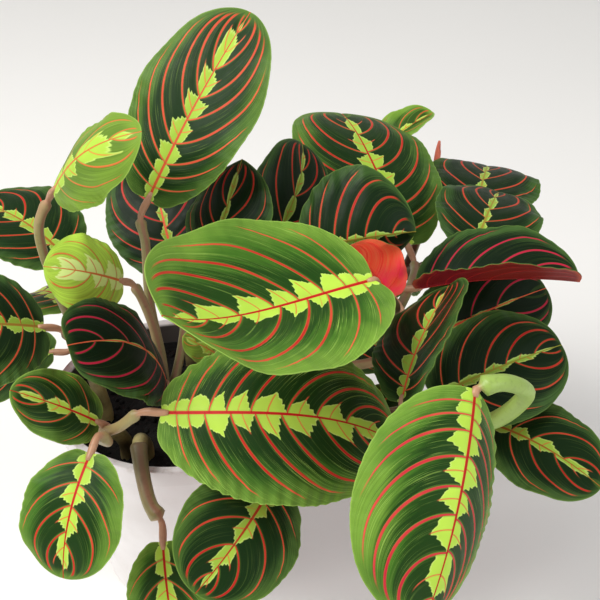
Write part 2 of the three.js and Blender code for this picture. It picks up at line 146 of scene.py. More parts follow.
@dataclass
class Leaf:
    """One blade and its stalk. The form comes first: the ends of the midrib, the way the blade faces, its
    width and arch, the points of its stalk, how it nods and sweeps, the fold at the midrib and the bend
    beyond it in degrees for the left and the right half, the lobes at its base, the stem point that its
    stalk leaves, the stalk's last point, radius and joint, and how blunt its tip is. The values from dark on
    are looks: how dark and how young it is, the reach of its lime band, how much that is beaded, its reds
    from orange at 0 to crimson at 1, how strongly light from behind is painted in as a glow on its lower
    face and on the upper face of a young leaf, how pale its stalk is, how clear its fine striping is, how
    frilled its margin is, how close its ribs are, and how they turn to the tip."""

    name: str
    base: tuple
    tip: tuple
    faces: tuple
    width: float
    arch: float
    stalk: tuple
    nod: float = 0
    sweep: float = 0
    fold: tuple = (6, 6)
    bend: tuple = (14, 14)
    ear: float = EAR_SHARE
    at: int = -1
    heel: tuple = None
    sheath: float = SHEATH_RADIUS
    joint: float = PULVINUS_LENGTH
    blunt: float = TIP_BLUNTNESS
    dark: float = 0.7
    young: float = 0
    lime: float = 1
    bead: float = 0
    hue: float = 0.5
    # Painted light: how much light from behind is painted into the colour of the lower face, and of the
    # upper face of a young leaf
    painted_glow: float = 0
    pale: float = 0
    stripes: float = 0.3
    frilled: float = 0.7
    close: float = 1
    ribs: tuple = RIB_LAW
    rolled: bool = False


@dataclass
class Shoot:
    """One stem with the blades whose stalks leave its end, or its stem point numbered by at."""

    name: str
    stem: tuple
    leaves: tuple


SHOOTS = (
    Shoot("shoot_tall_left", ((-2, -20, 110), (-3, -20, 120)), (
        Leaf("blade_tall_left", (-5, -10, 230), (41, 30, 302), (-0.3, -0.75, 0.6),
             60, 4, ((-4, -18, 146), (-8, -15, 179), (-8, -12, 208)), fold=(8, 8), bend=(12, 16),
             frilled=0.5, dark=0.68, lime=0.85, hue=0.25, stripes=0.5, close=1.4,
             ribs=(0.8, 1.1, 0.72, 1.3)),
        Leaf("blade_behind_tall", (3, 8, 180), (-13, 58, 219), (-0.1, -0.8, 0.6),
             58, 5, ((3, -14, 140), (7, -8, 162)), dark=1.0, lime=0.45, hue=0.7, close=1.2),
        Leaf("blade_young_left", (-16, -34, 201), (-44, -56, 222), (0, -0.75, 0.65),
             38, 4, ((-5, -19, 150), (-7, -22, 172)), nod=2, fold=(6, 0), bend=(26, 40), young=1.0,
             lime=1.5, painted_glow=1.0),
    )),
    Shoot("shoot_left", ((-36, -12, 110), (-38, -12, 122), (-43, -12, 150)), (
        Leaf("blade_young_top", (-45, -20, 239), (0, -45, 278), (-0.2, -0.6, 0.75),
             42, 6, ((-53, -13, 190), (-55, -15, 218)), nod=3, fold=(-14, -14), bend=(24, 34),
             young=0.8, dark=0.15, lime=1.3),
        Leaf("blade_far_left", (-58, -22, 168), (-118, -52, 178), (0, -0.5, 0.85),
             64, 8, ((-47, -16, 158),), nod=3, dark=0.85, lime=0.7),
    )),
    Shoot("shoot_front_left", ((-22, -38, 110), (-25, -42, 120), (-34, -58, 134)), (
        Leaf("blade_lower_front", (5, -88, 170), (105, -82, 148), (0.02, -0.43, 0.9),
             76, 12, ((-28, -72, 146), (-15, -83, 158)), nod=8, sweep=2, fold=(-1, -18), bend=(10, 22),
             blunt=0.76, frilled=1.2, dark=0.5, lime=1.0, stripes=0.9, close=1.25,
             ribs=(0.57, 1.48, 0.63, 1.21)),
        Leaf("blade_left_low", (-24, -79, 157), (-54, -96, 188), (0.3, -0.6, 0.7),
             30, 4, ((-25, -70, 144),), dark=0.6),
        Leaf("blade_left_hanging", (-25, -97, 155), (-36, -126, 112), (-0.2, -0.75, 0.6),
             46, 8, ((-26, -72, 142), (-20, -84, 151)), fold=(4, 4), bend=(18, 18), dark=0.5),
    )),
    Shoot("shoot_front", ((14, -38, 110), (15, -42, 122), (16, -48, 138)), (
        Leaf("blade_left_dark", (4, -59, 162), (-27, -100, 213), (0.12, -0.54, 0.83),
             46, 9, ((14, -54, 150),), nod=1, sweep=6, fold=(-1, -10), bend=(15, 15), blunt=0.6,
             dark=1.0, lime=0.15, bead=1.0, hue=1.0, close=1.3, ribs=(0.73, 1.5, 0.6, 1.4)),
        Leaf("blade_under_front", (52, -85, 129), (18, -122, 98), (0.2, -0.8, 0.5),
             56, 6, ((34, -56, 146), (56, -70, 143)), fold=(4, 4), dark=0.7, lime=0.8),
        Leaf("blade_small_young", (25, -36, 162), (10, -41, 176), (0, -0.7, 0.7),
             16, 2, ((24, -40, 148),), fold=(10, 10), bend=(10, 10), young=1.0, dark=0.0, lime=1.4),
    )),
    Shoot("shoot_over_rim", ((-12, -40, 110), (-13, -46, 119), (-12, -58, 125)), (
        Leaf("blade_over_rim", (2, -98, 104), (10, -124, 48), (-0.1, -0.9, 0.3),
             40, 5, ((-9, -72, 122), (-4, -86, 115)), bend=(16, 16), sheath=3.8, dark=0.4),
    )),
    Shoot("shoot_right", ((30, -14, 110), (36, -17, 124), (66, -27, 154), (104, -37, 180)), (
        Leaf("blade_main", (94, -55, 215), (14, -121, 241), (-0.15, -0.44, 0.89),
             83, -5, ((105, -42, 193),), nod=-5, sweep=2, fold=(16, 8), bend=(10, -20), blunt=0.55,
             heel=(98, -48, 205), frilled=0.25, dark=0.15, lime=0.9, stripes=0.7,
             ribs=(0.77, 1.17, 0.8, 1.18)),
        Leaf("blade_red_back", (105, -30, 190), (84, -27, 215), (0.25, 0.9, -0.1),
             32, 3, ((112, -34, 180),), fold=(10, 10), bend=(10, 10), blunt=1.6, dark=0.9, painted_glow=1.0),
        Leaf("blade_upper_right", (117, 28, 184), (86, 114, 218), (0.13, -0.41, 0.9),
             78, 11, ((116, -6, 182),), nod=2, sweep=-3, fold=(11, -7), bend=(16, 15), blunt=0.56,
             frilled=0.35, dark=0.65, lime=0.85, close=1.1, ribs=(0.67, 1.51, 0.69, 1.62)),
        Leaf("blade_right_folded", (117, -16, 186), (190, -26, 196), (0, -0.35, 0.93),
             62, 5, ((90, -22, 172),), fold=(8, 68), bend=(14, 10), ear=0, at=2, dark=1.0, lime=0.1,
             hue=1.0, painted_glow=0.1),
        Leaf("blade_right_deep", (117, -28, 162), (184, 6, 172), (0, -0.6, 0.8),
             50, 5, ((88, -36, 156),), at=2, dark=1.0, lime=0.2, hue=1.0),
        Leaf("blade_inner_right", (78, -2, 139), (126, 14, 124), (0, -0.1, 1),
             52, 8, ((56, -10, 132),), at=1, dark=0.85, lime=0.6),
    )),
    Shoot("shoot_centre", ((14, 4, 110), (15, 4, 124), (20, 3, 140)), (
        Leaf("blade_centre_left", (22, -23, 198), (36, 16, 237), (-0.42, -0.71, 0.56),
             45, 4, ((16, -5, 160), (18, -20, 178)), nod=-1, sweep=1, fold=(-6, 1), bend=(10, 16),
             blunt=1.75, dark=0.95, lime=0.36, bead=1.0, close=1.1, ribs=(0.95, 1.19, 0.82, 1.0)),
        Leaf("blade_centre", (45, 0, 189), (64, 44, 232), (0.58, -0.71, 0.4),
             50, 5, ((33, -3, 164),), nod=4, fold=(11, 5), bend=(17, 12), dark=0.95, lime=0.4,
             bead=1.0, close=1.1, ribs=(0.8, 1.0, 0.81, 1.2)),
        Leaf("blade_centre_right", (65, -14, 206), (116, -12, 214), (0, -0.8, 0.6),
             70, 4, ((40, -6, 168), (52, -14, 194)), nod=2, fold=(4, -58), bend=(20, 20), dark=0.9,
             lime=0.36, ribs=(0.6, 1.3, 0.6, 1.3)),
    )),
    Shoot("shoot_front_right", ((38, -30, 110), (44, -34, 124), (92, -56, 142)), (
        Leaf("blade_right_grey", (105, -91, 178), (128, -44, 205), (-0.42, -0.66, 0.62),
             56, 9, ((107, -60, 146), (117, -80, 157)), nod=-3, fold=(-25, 50), bend=(9, 4), blunt=1.1,
             heel=(108, -96, 171), dark=0.9, lime=0.8, bead=1.0, hue=0.65, ribs=(0.77, 1.13, 0.73, 1.3)),
        Leaf("blade_right_mid", (124, -52, 150), (186, -28, 162), (0, -0.6, 0.8),
             54, 6, ((106, -57, 145),), dark=0.95, lime=0.4),
        Leaf("blade_front_right", (130, -115, 203), (109, -169, 134), (0.08, -0.58, 0.81),
             79, 12, ((118, -68, 146), (144, -84, 162), (153, -100, 190)), nod=1, sweep=-1,
             fold=(-50, 14), bend=(24, 25), ear=0, sheath=4, joint=4, blunt=1, heel=(139, -112, 204),
             dark=0.35, lime=0.95, pale=1.0, hue=0.76, frilled=0.5, stripes=0.8, close=1.12,
             ribs=(0.88, 1.45, 0.77, 1.8)),
        Leaf("blade_right_low", (150, -48, 132), (198, -82, 122), (0, -0.3, 0.9),
             48, 6, ((122, -44, 134),), dark=0.8, lime=0.7),
        Leaf("blade_right_under", (88, -22, 118), (134, -30, 92), (0.4, -0.2, 0.9),
             54, 8, ((66, -28, 126),), at=1, dark=0.6, lime=0.8),
    )),
    Shoot("shoot_back_right", ((36, 14, 110), (42, 16, 124), (84, 25, 152), (116, 27, 167)), (
        Leaf("blade_rolled", (139, 108, 181), (141, 111, 203), (0, -1, 0),
             4, 0, ((126, 56, 172), (135, 88, 168)), fold=(0, 0), bend=(0, 0), rolled=True),
        Leaf("blade_back_top", (105, 113, 196), (138, 125, 214), (-0.1, -0.6, 0.8),
             28, 2, ((90, 48, 170), (97, 84, 180)), fold=(0, 50), bend=(14, 6), at=2, dark=0.3,
             young=0.25, lime=0.7),
        Leaf("blade_back_right", (152, 46, 187), (170, 114, 186), (0, -0.3, 0.95),
             62, 8, ((138, 28, 178),), dark=0.9, lime=0.45, hue=0.4),
        Leaf("blade_far_right", (146, 4, 195), (167, 62, 196), (0, -0.4, 0.9),
             54, 6, ((132, 10, 184),), dark=0.9, lime=0.45, hue=0.4),
        Leaf("blade_back_right_low", (82, 58, 134), (124, 102, 114), (0.2, 0.2, 1),
             54, 8, ((60, 38, 132),), at=1, dark=0.7, lime=0.8),
    )),
    Shoot("shoot_back", ((4, 34, 110), (4, 36, 122), (4, 40, 134)), (
        Leaf("blade_back_middle", (8, 52, 152), (0, 122, 150), (0, 0.1, 1),
             58, 10, (), dark=0.8, lime=0.7),
        Leaf("blade_back_inner", (54, 58, 150), (84, 124, 138), (0, 0.1, 1),
             60, 10, ((30, 46, 142),), dark=0.55),
        Leaf("blade_back_upper", (44, 46, 174), (58, 104, 188), (0, -0.2, 1),
             50, 7, ((16, 42, 150), (36, 40, 166)), dark=0.75, lime=0.7),
        Leaf("blade_back_low", (24, 72, 118), (34, 132, 84), (0, 0.5, 0.85),
             56, 8, ((14, 54, 132),), fold=(4, 4), bend=(16, 16), dark=0.7, lime=0.8),
    )),
    Shoot("shoot_back_left", ((-34, 22, 110), (-36, 24, 124), (-40, 28, 142)), (
        Leaf("blade_back_left", (-56, 34, 172), (-112, 72, 184), (0, -0.1, 1),
             62, 8, ((-46, 30, 162),), dark=0.8, lime=0.7),
        Leaf("blade_back_left_low", (-60, 48, 134), (-100, 92, 108), (-0.4, 0.4, 0.8),
             58, 8, ((-48, 36, 142),), fold=(4, 4), bend=(16, 16), dark=0.5),
        Leaf("blade_left_side_low", (-64, 8, 132), (-116, 6, 100), (-0.5, -0.1, 0.85),
             58, 8, ((-52, 18, 144),), fold=(4, 4), bend=(16, 16), dark=0.75, lime=0.7),
    )),
)


def srgb(red, green, blue):
    """A colour as a screen shows it, from 0 to 255, as the light that Blender mixes."""
    return tuple(((c / 255 + 0.055) / 1.055) ** 2.4 if c > 10 else c / 3295 for c in (red, green, blue))


def colour(name, description, *shown):
    """A colour property whose default is what a screen shows."""
    default = srgb(*shown)
    return FloatVectorProperty(
        name=name, description=description, subtype="COLOR", min=0, max=1, default=default
    )


def length(name, description, default):
    """A property for a length in metres."""
    return FloatProperty(name=name, description=description, unit="LENGTH", min=0, default=default)


class BladeLook(bpy.types.PropertyGroup):
    """Colours and fine sizes of the leaf blades."""

    rib_start_colour: colour("Rib starts", "Salmon of the ribs at the midrib", 218, 74, 50)
    rib_colour: colour("Ribs", "Red of the ribs half way out", 198, 32, 32)
    rib_end_colour: colour("Rib ends", "Orange of the ribs towards the margin", 240, 112, 72)
    crimson_colour: colour("Crimson ribs", "Ribs of the darkest leaves", 210, 40, 78)
    young_rib_colour: colour("Young ribs", "Orange of the ribs of a young leaf", 226, 132, 66)
    lime_colour: colour("Lime band", "Lobed band along the midrib", 206, 248, 88)
    lime_edge_colour: colour("Lime edge", "Paler edge of the lime band", 226, 250, 150)
    streak_colour: colour("Streaks", "Fine pale lines beside the ribs", 168, 206, 96)
    light_colour: colour("Light green", "Margin and base of the upper face", 126, 168, 62)
    mid_colour: colour("Mid green", "Beside the dark zone", 72, 120, 36)
    shade_colour: colour("Shade green", "Beside the dark zone of a dark leaf", 30, 54, 29)
    shade_edge_colour: colour("Shade edge", "Margin of a dark leaf", 58, 90, 44)
    dark_colour: colour("Dark green", "Zone between the ribs of a light leaf", 38, 78, 22)
    darkest_colour: colour("Darkest green", "Zone between the ribs of a dark leaf", 14, 33, 14)
    young_colour: colour("Young green", "Face of a leaf that has just opened", 138, 172, 62)
    under_colour: colour("Underside", "Wine red of the lower face", 120, 10, 16)
    under_shade_colour: colour("Underside shade", "Darker streaks of the lower face", 88, 8, 18)
    # Painted backlight: where a blade has painted glow, its lower face takes these lit colours in place of
    # its own wine red. The first is also the colour of the light that comes through the lower face.
    glow_colour: colour("Lit underside", "Lower face with the light behind it", 250, 62, 40)
    glow_streak_colour: colour("Lit streaks", "Orange streaks of a lit lower face", 240, 104, 58)
    glow_patch_colour: colour("Lit patch", "Crimson near the base of a lit lower face", 252, 36, 84)
    rib_width: length("Rib width", "Width of a rib half way out, on a blade 70 mm wide", 1.1 * MM)
    midrib_width: length("Midrib width", "Width of the midrib at the base, on a blade 70 mm wide", 1.9 * MM)
    thickness: length("Thickness", "Thickness of a blade between the ribs", 0.55 * MM)
    quilt: length("Quilting", "Rise of the face between two ribs", 0.42 * MM)
    ruffle: length("Ruffle", "Height of the small waves of the margin", 0.55 * MM)
    scallop: length("Scallops", "How far the crinkled margin goes in and out", 0.34 * MM)
    rows: IntProperty(name="Rows", description="Faces from base to tip", min=24, max=160, default=104)
    columns: IntProperty(name="Columns", description="Faces across", min=16, max=96, default=42)


class ShootLook(bpy.types.PropertyGroup):
    """Colours and fine sizes of stems, sheaths and stalks."""

    sheath_colour: colour("Sheath", "Olive of the sheathed stalk", 156, 146, 94)
    sheath_edge_colour: colour("Sheath edge", "Pinkish brown of the sheath's edges", 164, 122, 92)
    pale_sheath_colour: colour("Pale sheath", "Pale green of a thick young sheath", 150, 184, 84)
    foot_colour: colour("Foot", "Olive brown low on the stem", 72, 62, 38)
    pulvinus_colour: colour("Pulvinus", "Tan of the swollen joint below the blade", 184, 138, 106)
    rolled_colour: colour("Rolled leaf", "Salmon of a leaf that is still rolled", 226, 104, 84)
    sides: IntProperty(name="Sides", description="Faces round a stalk", min=8, max=32, default=14)


class PotLook(bpy.types.PropertyGroup):
    """Colours and fine sizes of the pot and its soil."""

    # The dark brown painted on everything inside the pot wall's inner face below the lip.
    inner_wall_colour: colour("Stain", "Soil dried on the inside of the rim", 46, 38, 32)
    pot_colour: colour("Pot", "Grey white of the plastic", 240, 238, 238)
    dust_colour: colour("Pot dust", "Soil dust on the rim and the foot", 168, 156, 142)
    soil_colour: colour("Soil", "Damp potting soil", 10, 8, 7)
    soil_dry_colour: colour("Dry crumbs", "Crumbs that have dried", 30, 24, 20)
    clod: length("Clods", "Height of the clods of the surface", 2.2 * MM)
    crumbs: IntProperty(name="Crumbs", description="Loose crumbs on the soil", min=0, max=600, default=260)


class StageLook(bpy.types.PropertyGroup):
    """Floor, light and camera."""

    floor_colour: colour("Floor", "Pale floor and backdrop", 244, 243, 241)
    key_power: FloatProperty(name="Key light", description="Power of the soft light from the left",
                             unit="POWER", min=0, default=22)
    fill_power: FloatProperty(name="Fill light", description="Power of the soft light from the right",
                              unit="POWER", min=0, default=7)
    sky: FloatProperty(name="Sky", description="Strength of the light from all round", min=0, default=0.52)
    lens: FloatProperty(name="Lens", description="Focal length", unit="CAMERA", min=20, default=63.84)
    elevation: FloatProperty(name="Elevation", description="Camera's angle above the horizon",
                             subtype="ANGLE", default=math.radians(33))
    distance: length("Distance", "From the camera to what it looks at", 520 * MM)


# Curves and grids


def unit(vectors):
    """The same directions, one long."""
    return vectors / np.maximum(np.linalg.norm(vectors, axis=-1, keepdims=True), 1e-12)


def smooth_step(low, high, x):
    """0 up to low, 1 from high on, and a smooth rise between."""
    t = np.clip((x - low) / (high - low), 0, 1)
    return t * t * (3 - 2 * t)


def window(x, rise_from, rise_to, fall_from, fall_to):
    """0, then a smooth rise to 1, and a smooth fall back to 0."""
    return smooth_step(rise_from, rise_to, x) * (1 - smooth_step(fall_from, fall_to, x))


def angles(count):
    """Directions evenly round a full turn."""
    return 2 * math.pi * np.arange(count) / count


def curve_points(points, step):
    """The centripetal Catmull-Rom curve through the points, about step apart, and the distance along it."""

    def between(a, b, start, end, t):
        return a * (end - t) / (end - start) + b * (t - start) / (end - start)

    p = np.array(points, float)
    p = np.vstack([2 * p[0] - p[1], p, 2 * p[-1] - p[-2]])
    dense = []
    for a, b, c, d in zip(p, p[1:], p[2:], p[3:]):
        t1 = max(np.linalg.norm(b - a), 1e-6) ** 0.5
        t2 = t1 + max(np.linalg.norm(c - b), 1e-6) ** 0.5
        t3 = t2 + max(np.linalg.norm(d - c), 1e-6) ** 0.5
        t = np.linspace(t1, t2, CURVE_PARTS, endpoint=False)[:, None]
        ab, bc, cd = between(a, b, 0, t1, t), between(b, c, t1, t2, t), between(c, d, t2, t3, t)
        dense.append(between(between(ab, bc, 0, t2, t), between(bc, cd, t1, t3, t), t1, t2, t))
    dense = np.vstack(dense + [p[-2:-1]])
    run = np.concatenate([[0], np.cumsum(np.linalg.norm(np.diff(dense, axis=0), axis=1))])
    at = np.linspace(0, run[-1], max(int(round(run[-1] / step)), 3) + 1)
    return np.stack([np.interp(at, run, dense[:, k]) for k in range(3)], axis=1), at


def add_object(name, data):
    """Puts a mesh, a light or a camera into the scene."""
    made = bpy.data.objects.new(name, data)
    bpy.context.scene.collection.objects.link(made)
    return made


def smooth_mesh(name, points, faces):
    """A mesh from points in metres, shaded smooth."""
    mesh = bpy.data.meshes.new(name)
    mesh.from_pydata(points, [], faces)
    mesh.shade_smooth()
    mesh.update()
    return mesh


def finished_mesh(name, shape):
    """Turns a bmesh into a mesh and frees it."""
    mesh = bpy.data.meshes.new(name)
    shape.to_mesh(mesh)
    shape.free()
    return mesh


def new_piece(name, mesh):
    """A piece that rides on the frame's one body."""
    piece = add_object(name, mesh)
    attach(piece, "root")
    return piece


def grown_piece(name, points, faces):
    """A smooth piece from points in millimetres, which stands for the node of its name."""
    piece = new_piece(name, smooth_mesh(name, (np.asarray(points) * MM).tolist(), faces))
    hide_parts(name)
    return piece


def keep_vectors(piece, name, vectors):
    """Keeps three numbers at each point for the material to read."""
    attribute = piece.data.attributes.new(name, "FLOAT_VECTOR", "POINT")
    attribute.data.foreach_set("vector", np.asarray(vectors, np.float32).ravel())


# Blades


@dataclass
class Blade:
    """A leaf with its frame worked out: where the midrib starts, its chord, and the blade's up and right."""

    leaf: Leaf
    phase: float

    def __post_init__(self):
        self.start = np.array(self.leaf.base, float)
        self.chord = np.array(self.leaf.tip, float) - self.start
        along = unit(self.chord)
        faces = np.array(self.leaf.faces, float)
        self.up = unit(faces - along * faces.dot(along))
        self.right = np.cross(along, self.up)
        self.share = self.leaf.width / REFERENCE_WIDTH
        self.ruffles = np.linalg.norm(self.chord) / RUFFLE_LENGTH
        self.rib_count = self.leaf.close * (RIBS_LEAST + RIBS_PER_WIDTH * self.leaf.width)

    def midrib(self, u):
        """Points at the shares u of the way from base to tip."""
        u = np.asarray(u)[..., None]
        middle = 4 * u * (1 - u)
        late = 6.75 * u * u * (1 - u)
        return (
            self.start
            + self.chord * u
            + self.up * (self.leaf.arch * middle + self.leaf.nod * late)
            + self.right * self.leaf.sweep * middle
        )

    def half_width(self, u):
        """From the midrib to the margin, along the blade."""
        roundness = np.sqrt(np.clip(4 * u * (1 - u), 0, 1))
        return self.leaf.width / 2 * roundness ** (BASE_BLUNTNESS + (self.leaf.blunt - BASE_BLUNTNESS) * u)

    def surface(self, u, v):
        """Points of the middle surface, and the along and up directions there."""
        leaf = self.leaf
        step = 0.001
        along = unit(self.midrib(u + step) - self.midrib(u - step))
        right = unit(np.cross(along, self.up))
        up = np.cross(right, along)
        roundness = np.sqrt(np.clip(4 * u * (1 - u), 0, 1))
        on_right = (v >= 0).astype(float)
        away = np.abs(v) * self.half_width(u)
        fold = np.radians(np.where(v < 0, leaf.fold[0], leaf.fold[1]))
        curl = np.radians(np.where(v < 0, leaf.bend[0], leaf.bend[1])) / (leaf.width / 2) + 1e-6
        across = (np.sin(fold) - np.sin(fold - curl * away)) / curl
        lift = (np.cos(fold - curl * away) - np.cos(fold)) / curl
        wave = WAVE_HEIGHT * np.sin(2 * math.pi * (WAVES * u + WAVE_SHIFT * on_right) + self.phase)
        ear = leaf.ear * leaf.width * (1 - u) ** EAR_FADE * np.minimum(1, 4 * roundness)
        points = (
            self.midrib(u)
            + right * (np.sign(v) * across)[..., None]
            + up * (lift + wave * v * v * roundness)[..., None]
            - along * (ear * v * v)[..., None]
        )
        return points, along, up


def rib_numbers(blade, u, v):
    """How many ribs lie between the base and each point, for the left half and for the right half."""
    phase = blade.phase
    numbers = []
    for sweep, curve in (blade.leaf.ribs[:2], blade.leaf.ribs[2:]):
        w = np.clip(u * (1 - sweep * np.abs(v) ** curve), 1e-6, 1)
        numbers.append(blade.rib_count * (w**RIB_CROWDING - RIB_START) / (1 - RIB_START))
    left, right = numbers
    left = left + 0.1 * np.sin(2.1 * left + phase) + 0.05 * np.sin(4.7 * left + 2 * phase)
    right = right + RIB_OFFSET * math.sin(5 * phase) + 0.1 * np.sin(1.9 * right + 2 + 3 * phase)
    return left, right


def margin_distance(points):
    """How far each point of a grid is from the blade's margin, in millimetres."""
    rim = np.concatenate([points[:, 0], points[::-1, -1]])
    return np.array([np.sqrt(((row[:, None] - rim) ** 2).sum(-1).min(1)) for row in points])


def spacing_of(numbers, points):
    """The distance in millimetres between one whole number and the next, over a grid of points."""
    p0, p1 = np.gradient(points, axis=0), np.gradient(points, axis=1)
    n0, n1 = np.gradient(numbers, axis=0), np.gradient(numbers, axis=1)
    e, f, g = (p0 * p0).sum(-1), (p0 * p1).sum(-1), (p1 * p1).sum(-1)
    slope = (g * n0**2 - 2 * f * n0 * n1 + e * n1**2) / np.maximum(e * g - f * f, 1e-9)
    return np.clip(1 / np.sqrt(np.maximum(slope, 1e-9)), *SPACING_LIMITS)


def blade_grid(rows, columns):
    """u from base to tip and v from margin to margin, with smaller faces at the ends and the margins."""
    turn = np.linspace(0, math.pi, rows + 1)
    s = np.linspace(-1, 1, columns + 1)
    return np.meshgrid((1 - np.cos(turn)) / 2, s * (0.7 + 0.3 * s * s), indexing="ij")


def scalloped(blade, look, points, u, v):
    """The middle surface with its crinkled margin drawn in and out."""
    waves = np.sin(2 * math.pi * u * SCALLOPS * blade.ruffles + 3.1 * np.sin(7 * u + 2 * blade.phase + v))
    place = smooth_step(0.8, 1, np.abs(v)) * window(u, 0, 0.06, 0.8, 0.95)
    place = place * (1.2 - 0.9 * smooth_step(0.1, 0.5, u))
    depth = look.scallop / MM * blade.leaf.frilled * blade.share
    outward = np.sign(v)[..., None] * unit(np.gradient(points, axis=1))
    return points + outward * (depth * waves * place)[..., None]


def relief(blade, look, u, v, numbers):
    """How high the upper and the lower face stand over the middle surface, in millimetres."""
    far, away = np.abs(v), np.abs(v) * blade.half_width(u)
    quilted = window(far, 0.02, 0.3, 0.72, 1) * window(u, 0.03, 0.15, 0.85, 0.99)
    quilt = look.quilt / MM * np.sin(math.pi * (numbers % 1)) ** 2 * quilted
    waves = np.sin(2 * math.pi * u * blade.ruffles + 2.3 * np.sin(9 * u + blade.phase))
    ruffled = smooth_step(0.6, 1, far) * window(u, 0, 0.1, 0.9, 1) * (1.3 - u)
    ruffle = look.ruffle / MM * blade.leaf.frilled * waves * ruffled
    groove = GROOVE_DEPTH * np.exp(-((away / GROOVE_REACH) ** 2)) * (1 - 0.6 * u)
    rib = MIDRIB_DEPTH * np.exp(-((away / MIDRIB_REACH) ** 2)) * (1 - 0.75 * u)
    thin = look.thickness / MM / 2 * (1 - 0.45 * smooth_step(0.6, 1, far))
    middle = (quilt + ruffle) * blade.share
    return middle + thin - groove * blade.share, middle - thin - rib * blade.share


def blade_faces(rows, columns):
    """Faces of one layer as grid corners (row, column), the way that looks up."""
    faces = []
    for c in range(columns):
        faces.append(((0, c), (1, c + 1), (1, c)))
        faces.append(((rows, c), (rows - 1, c), (rows - 1, c + 1)))
    for r in range(1, rows - 1):
        for c in range(columns):
            faces.append(((r, c), (r, c + 1), (r + 1, c + 1), (r + 1, c)))
    return faces


def blade_piece(blade, look):
    """A closed leaf: quilted between its ribs, grooved on the midrib, ruffled and thin at the margin."""
    leaf = blade.leaf
    rows, columns = look.rows, look.columns
    u, v = blade_grid(rows, columns)
    points, _, _ = blade.surface(u, v)
    normal = unit(np.cross(np.gradient(points, axis=1), np.gradient(points, axis=0)))
    normal[0], normal[-1] = unit(normal[1].mean(0)), unit(normal[-2].mean(0))
    points = scalloped(blade, look, points, u, v)
    left, right = rib_numbers(blade, u, v)
    upper, lower = relief(blade, look, u, v, np.where(v < 0, left, right))

    def layer(grid):
        """The grid as a list of points. Its first and its last row are one point each."""
        middle = columns // 2
        return np.concatenate([grid[:1, middle], grid[1:rows].reshape(-1, 3), grid[rows:, middle]])

    ids = np.zeros((rows + 1, columns + 1), int)
    ids[1:rows] = 1 + np.arange((rows - 1) * (columns + 1)).reshape(rows - 1, columns + 1)
    ids[rows] = 1 + (rows - 1) * (columns + 1)
    count = ids[rows, 0] + 1
    corners = blade_faces(rows, columns)
    edge = [ids[r, 0] for r in range(rows + 1)] + [ids[r, columns] for r in range(rows - 1, 0, -1)]
    border = list(zip(edge, edge[1:] + edge[:1]))
    faces = [[ids[c] for c in face] for face in corners]
    faces += [[count + ids[c] for c in reversed(face)] for face in corners]
    faces += [(a, b, count + b, count + a) for a, b in border]
    both = [layer(points + normal * height[..., None]) for height in (upper, lower)]
    piece = grown_piece(leaf.name, np.concatenate(both), faces)

    spacing = np.where(v < 0, spacing_of(left, points), spacing_of(right, points))
    kept = {
        "place": (u, v, np.abs(v) * blade.half_width(u)),
        "ribs": (left, right, spacing),
        "border": (margin_distance(points), leaf.hue, leaf.bead),
        "mark": (leaf.lime, blade.phase % 10, leaf.width / 2),
        "tone": (leaf.dark, leaf.young, leaf.painted_glow),
        "veins": (blade.rib_count, leaf.stripes, 0),
    }
    for name, values in kept.items():
        grid = np.stack([np.broadcast_to(value, u.shape) for value in values], axis=-1)
        keep_vectors(piece, name, np.tile(layer(grid), (2, 1)))

    mesh = piece.data
    materials = [0] * len(corners) + [1] * len(corners) + [0] * len(border)
    mesh.polygons.foreach_set("material_index", materials)
    lay_out(mesh, corners, len(border), rows, columns)
    sharpen(mesh, {frozenset((a + shift, b + shift)) for a, b in border for shift in (0, count)})
    return piece


def lay_out(mesh, corners, strip, rows, columns):
    """The bake's map: the upper face at the left, the lower face at the right, the margin between them."""
    uv = mesh.uv_layers.new(name="OFBake")
    places = []
    for first, turned_over in ((0.01, False), (0.52, True)):
        for face in corners:
            for row, column in reversed(face) if turned_over else face:
                across = column + (0.5 if row in (0, rows) else 0)
                places.append((first + 0.47 * across / columns, 0.01 + 0.98 * row / rows))
    for k in range(strip):
        low, high = 0.01 + 0.98 * k / strip, 0.01 + 0.98 * (k + 1) / strip
        places += [(0.49, low), (0.49, high), (0.51, high), (0.51, low)]
    uv.data.foreach_set("uv", np.array(places, np.float32).ravel())


def sharpen(mesh, borders):
    """The two borders of the margin strip stay sharp."""
    sharp = mesh.attributes.new("sharp_edge", "BOOLEAN", "EDGE")
    ends = np.zeros(len(mesh.edges) * 2, np.int32)
    mesh.edges.foreach_get("vertices", ends)
    sharp.data.foreach_set("value", [frozenset(pair) in borders for pair in ends.reshape(-1, 2).tolist()])


# Stems and stalks


def swept(line, side, radii):
    """Rings of points round a line, at the radii of each. The first point of a ring lies towards side."""
    along = unit(np.gradient(line, axis=0))
    angle = angles(radii.shape[1])
    cosine, sine = np.cos(angle)[:, None], np.sin(angle)[:, None]
    rings = []
    for centre, forward, radius in zip(line, along, radii):
        side = unit(side - forward * side.dot(forward))
        other = np.cross(forward, side)
        rings.append(centre + radius[:, None] * (cosine * side + sine * other))
    return np.array(rings)


def tube_faces(first, rings, sides):
    """Faces of a closed tube whose points start at the number first."""
    faces = []
    for r in range(rings - 1):
        for k in range(sides):
            n = (k + 1) % sides
            a, b = first + r * sides, first + (r + 1) * sides
            faces.append((a + k, a + n, b + n, b + k))
    faces.append(tuple(first + k for k in reversed(range(sides))))
    faces.append(tuple(first + (rings - 1) * sides + k for k in range(sides)))
    return faces


def stalk_route(blade, start):
    """From the stem to a little way along the underside of the midrib."""
    leaf = blade.leaf
    _, along, up = blade.surface(np.array([0.0]), np.array([0.0]))
    heel = np.array(leaf.heel) if leaf.heel else blade.start - along[0] * HEEL_LENGTH
    inside = [] if leaf.rolled else [blade.start + along[0] * 3 - up[0] * 0.6]
    return [start, *leaf.stalk, heel, blade.start - up[0] * 0.25, *inside]


def stem_radius(left, total):
    """Even, with a slightly slimmer end."""
    return SHOOT_RADIUS * (1 - 0.25 * math.exp(-left / 3))


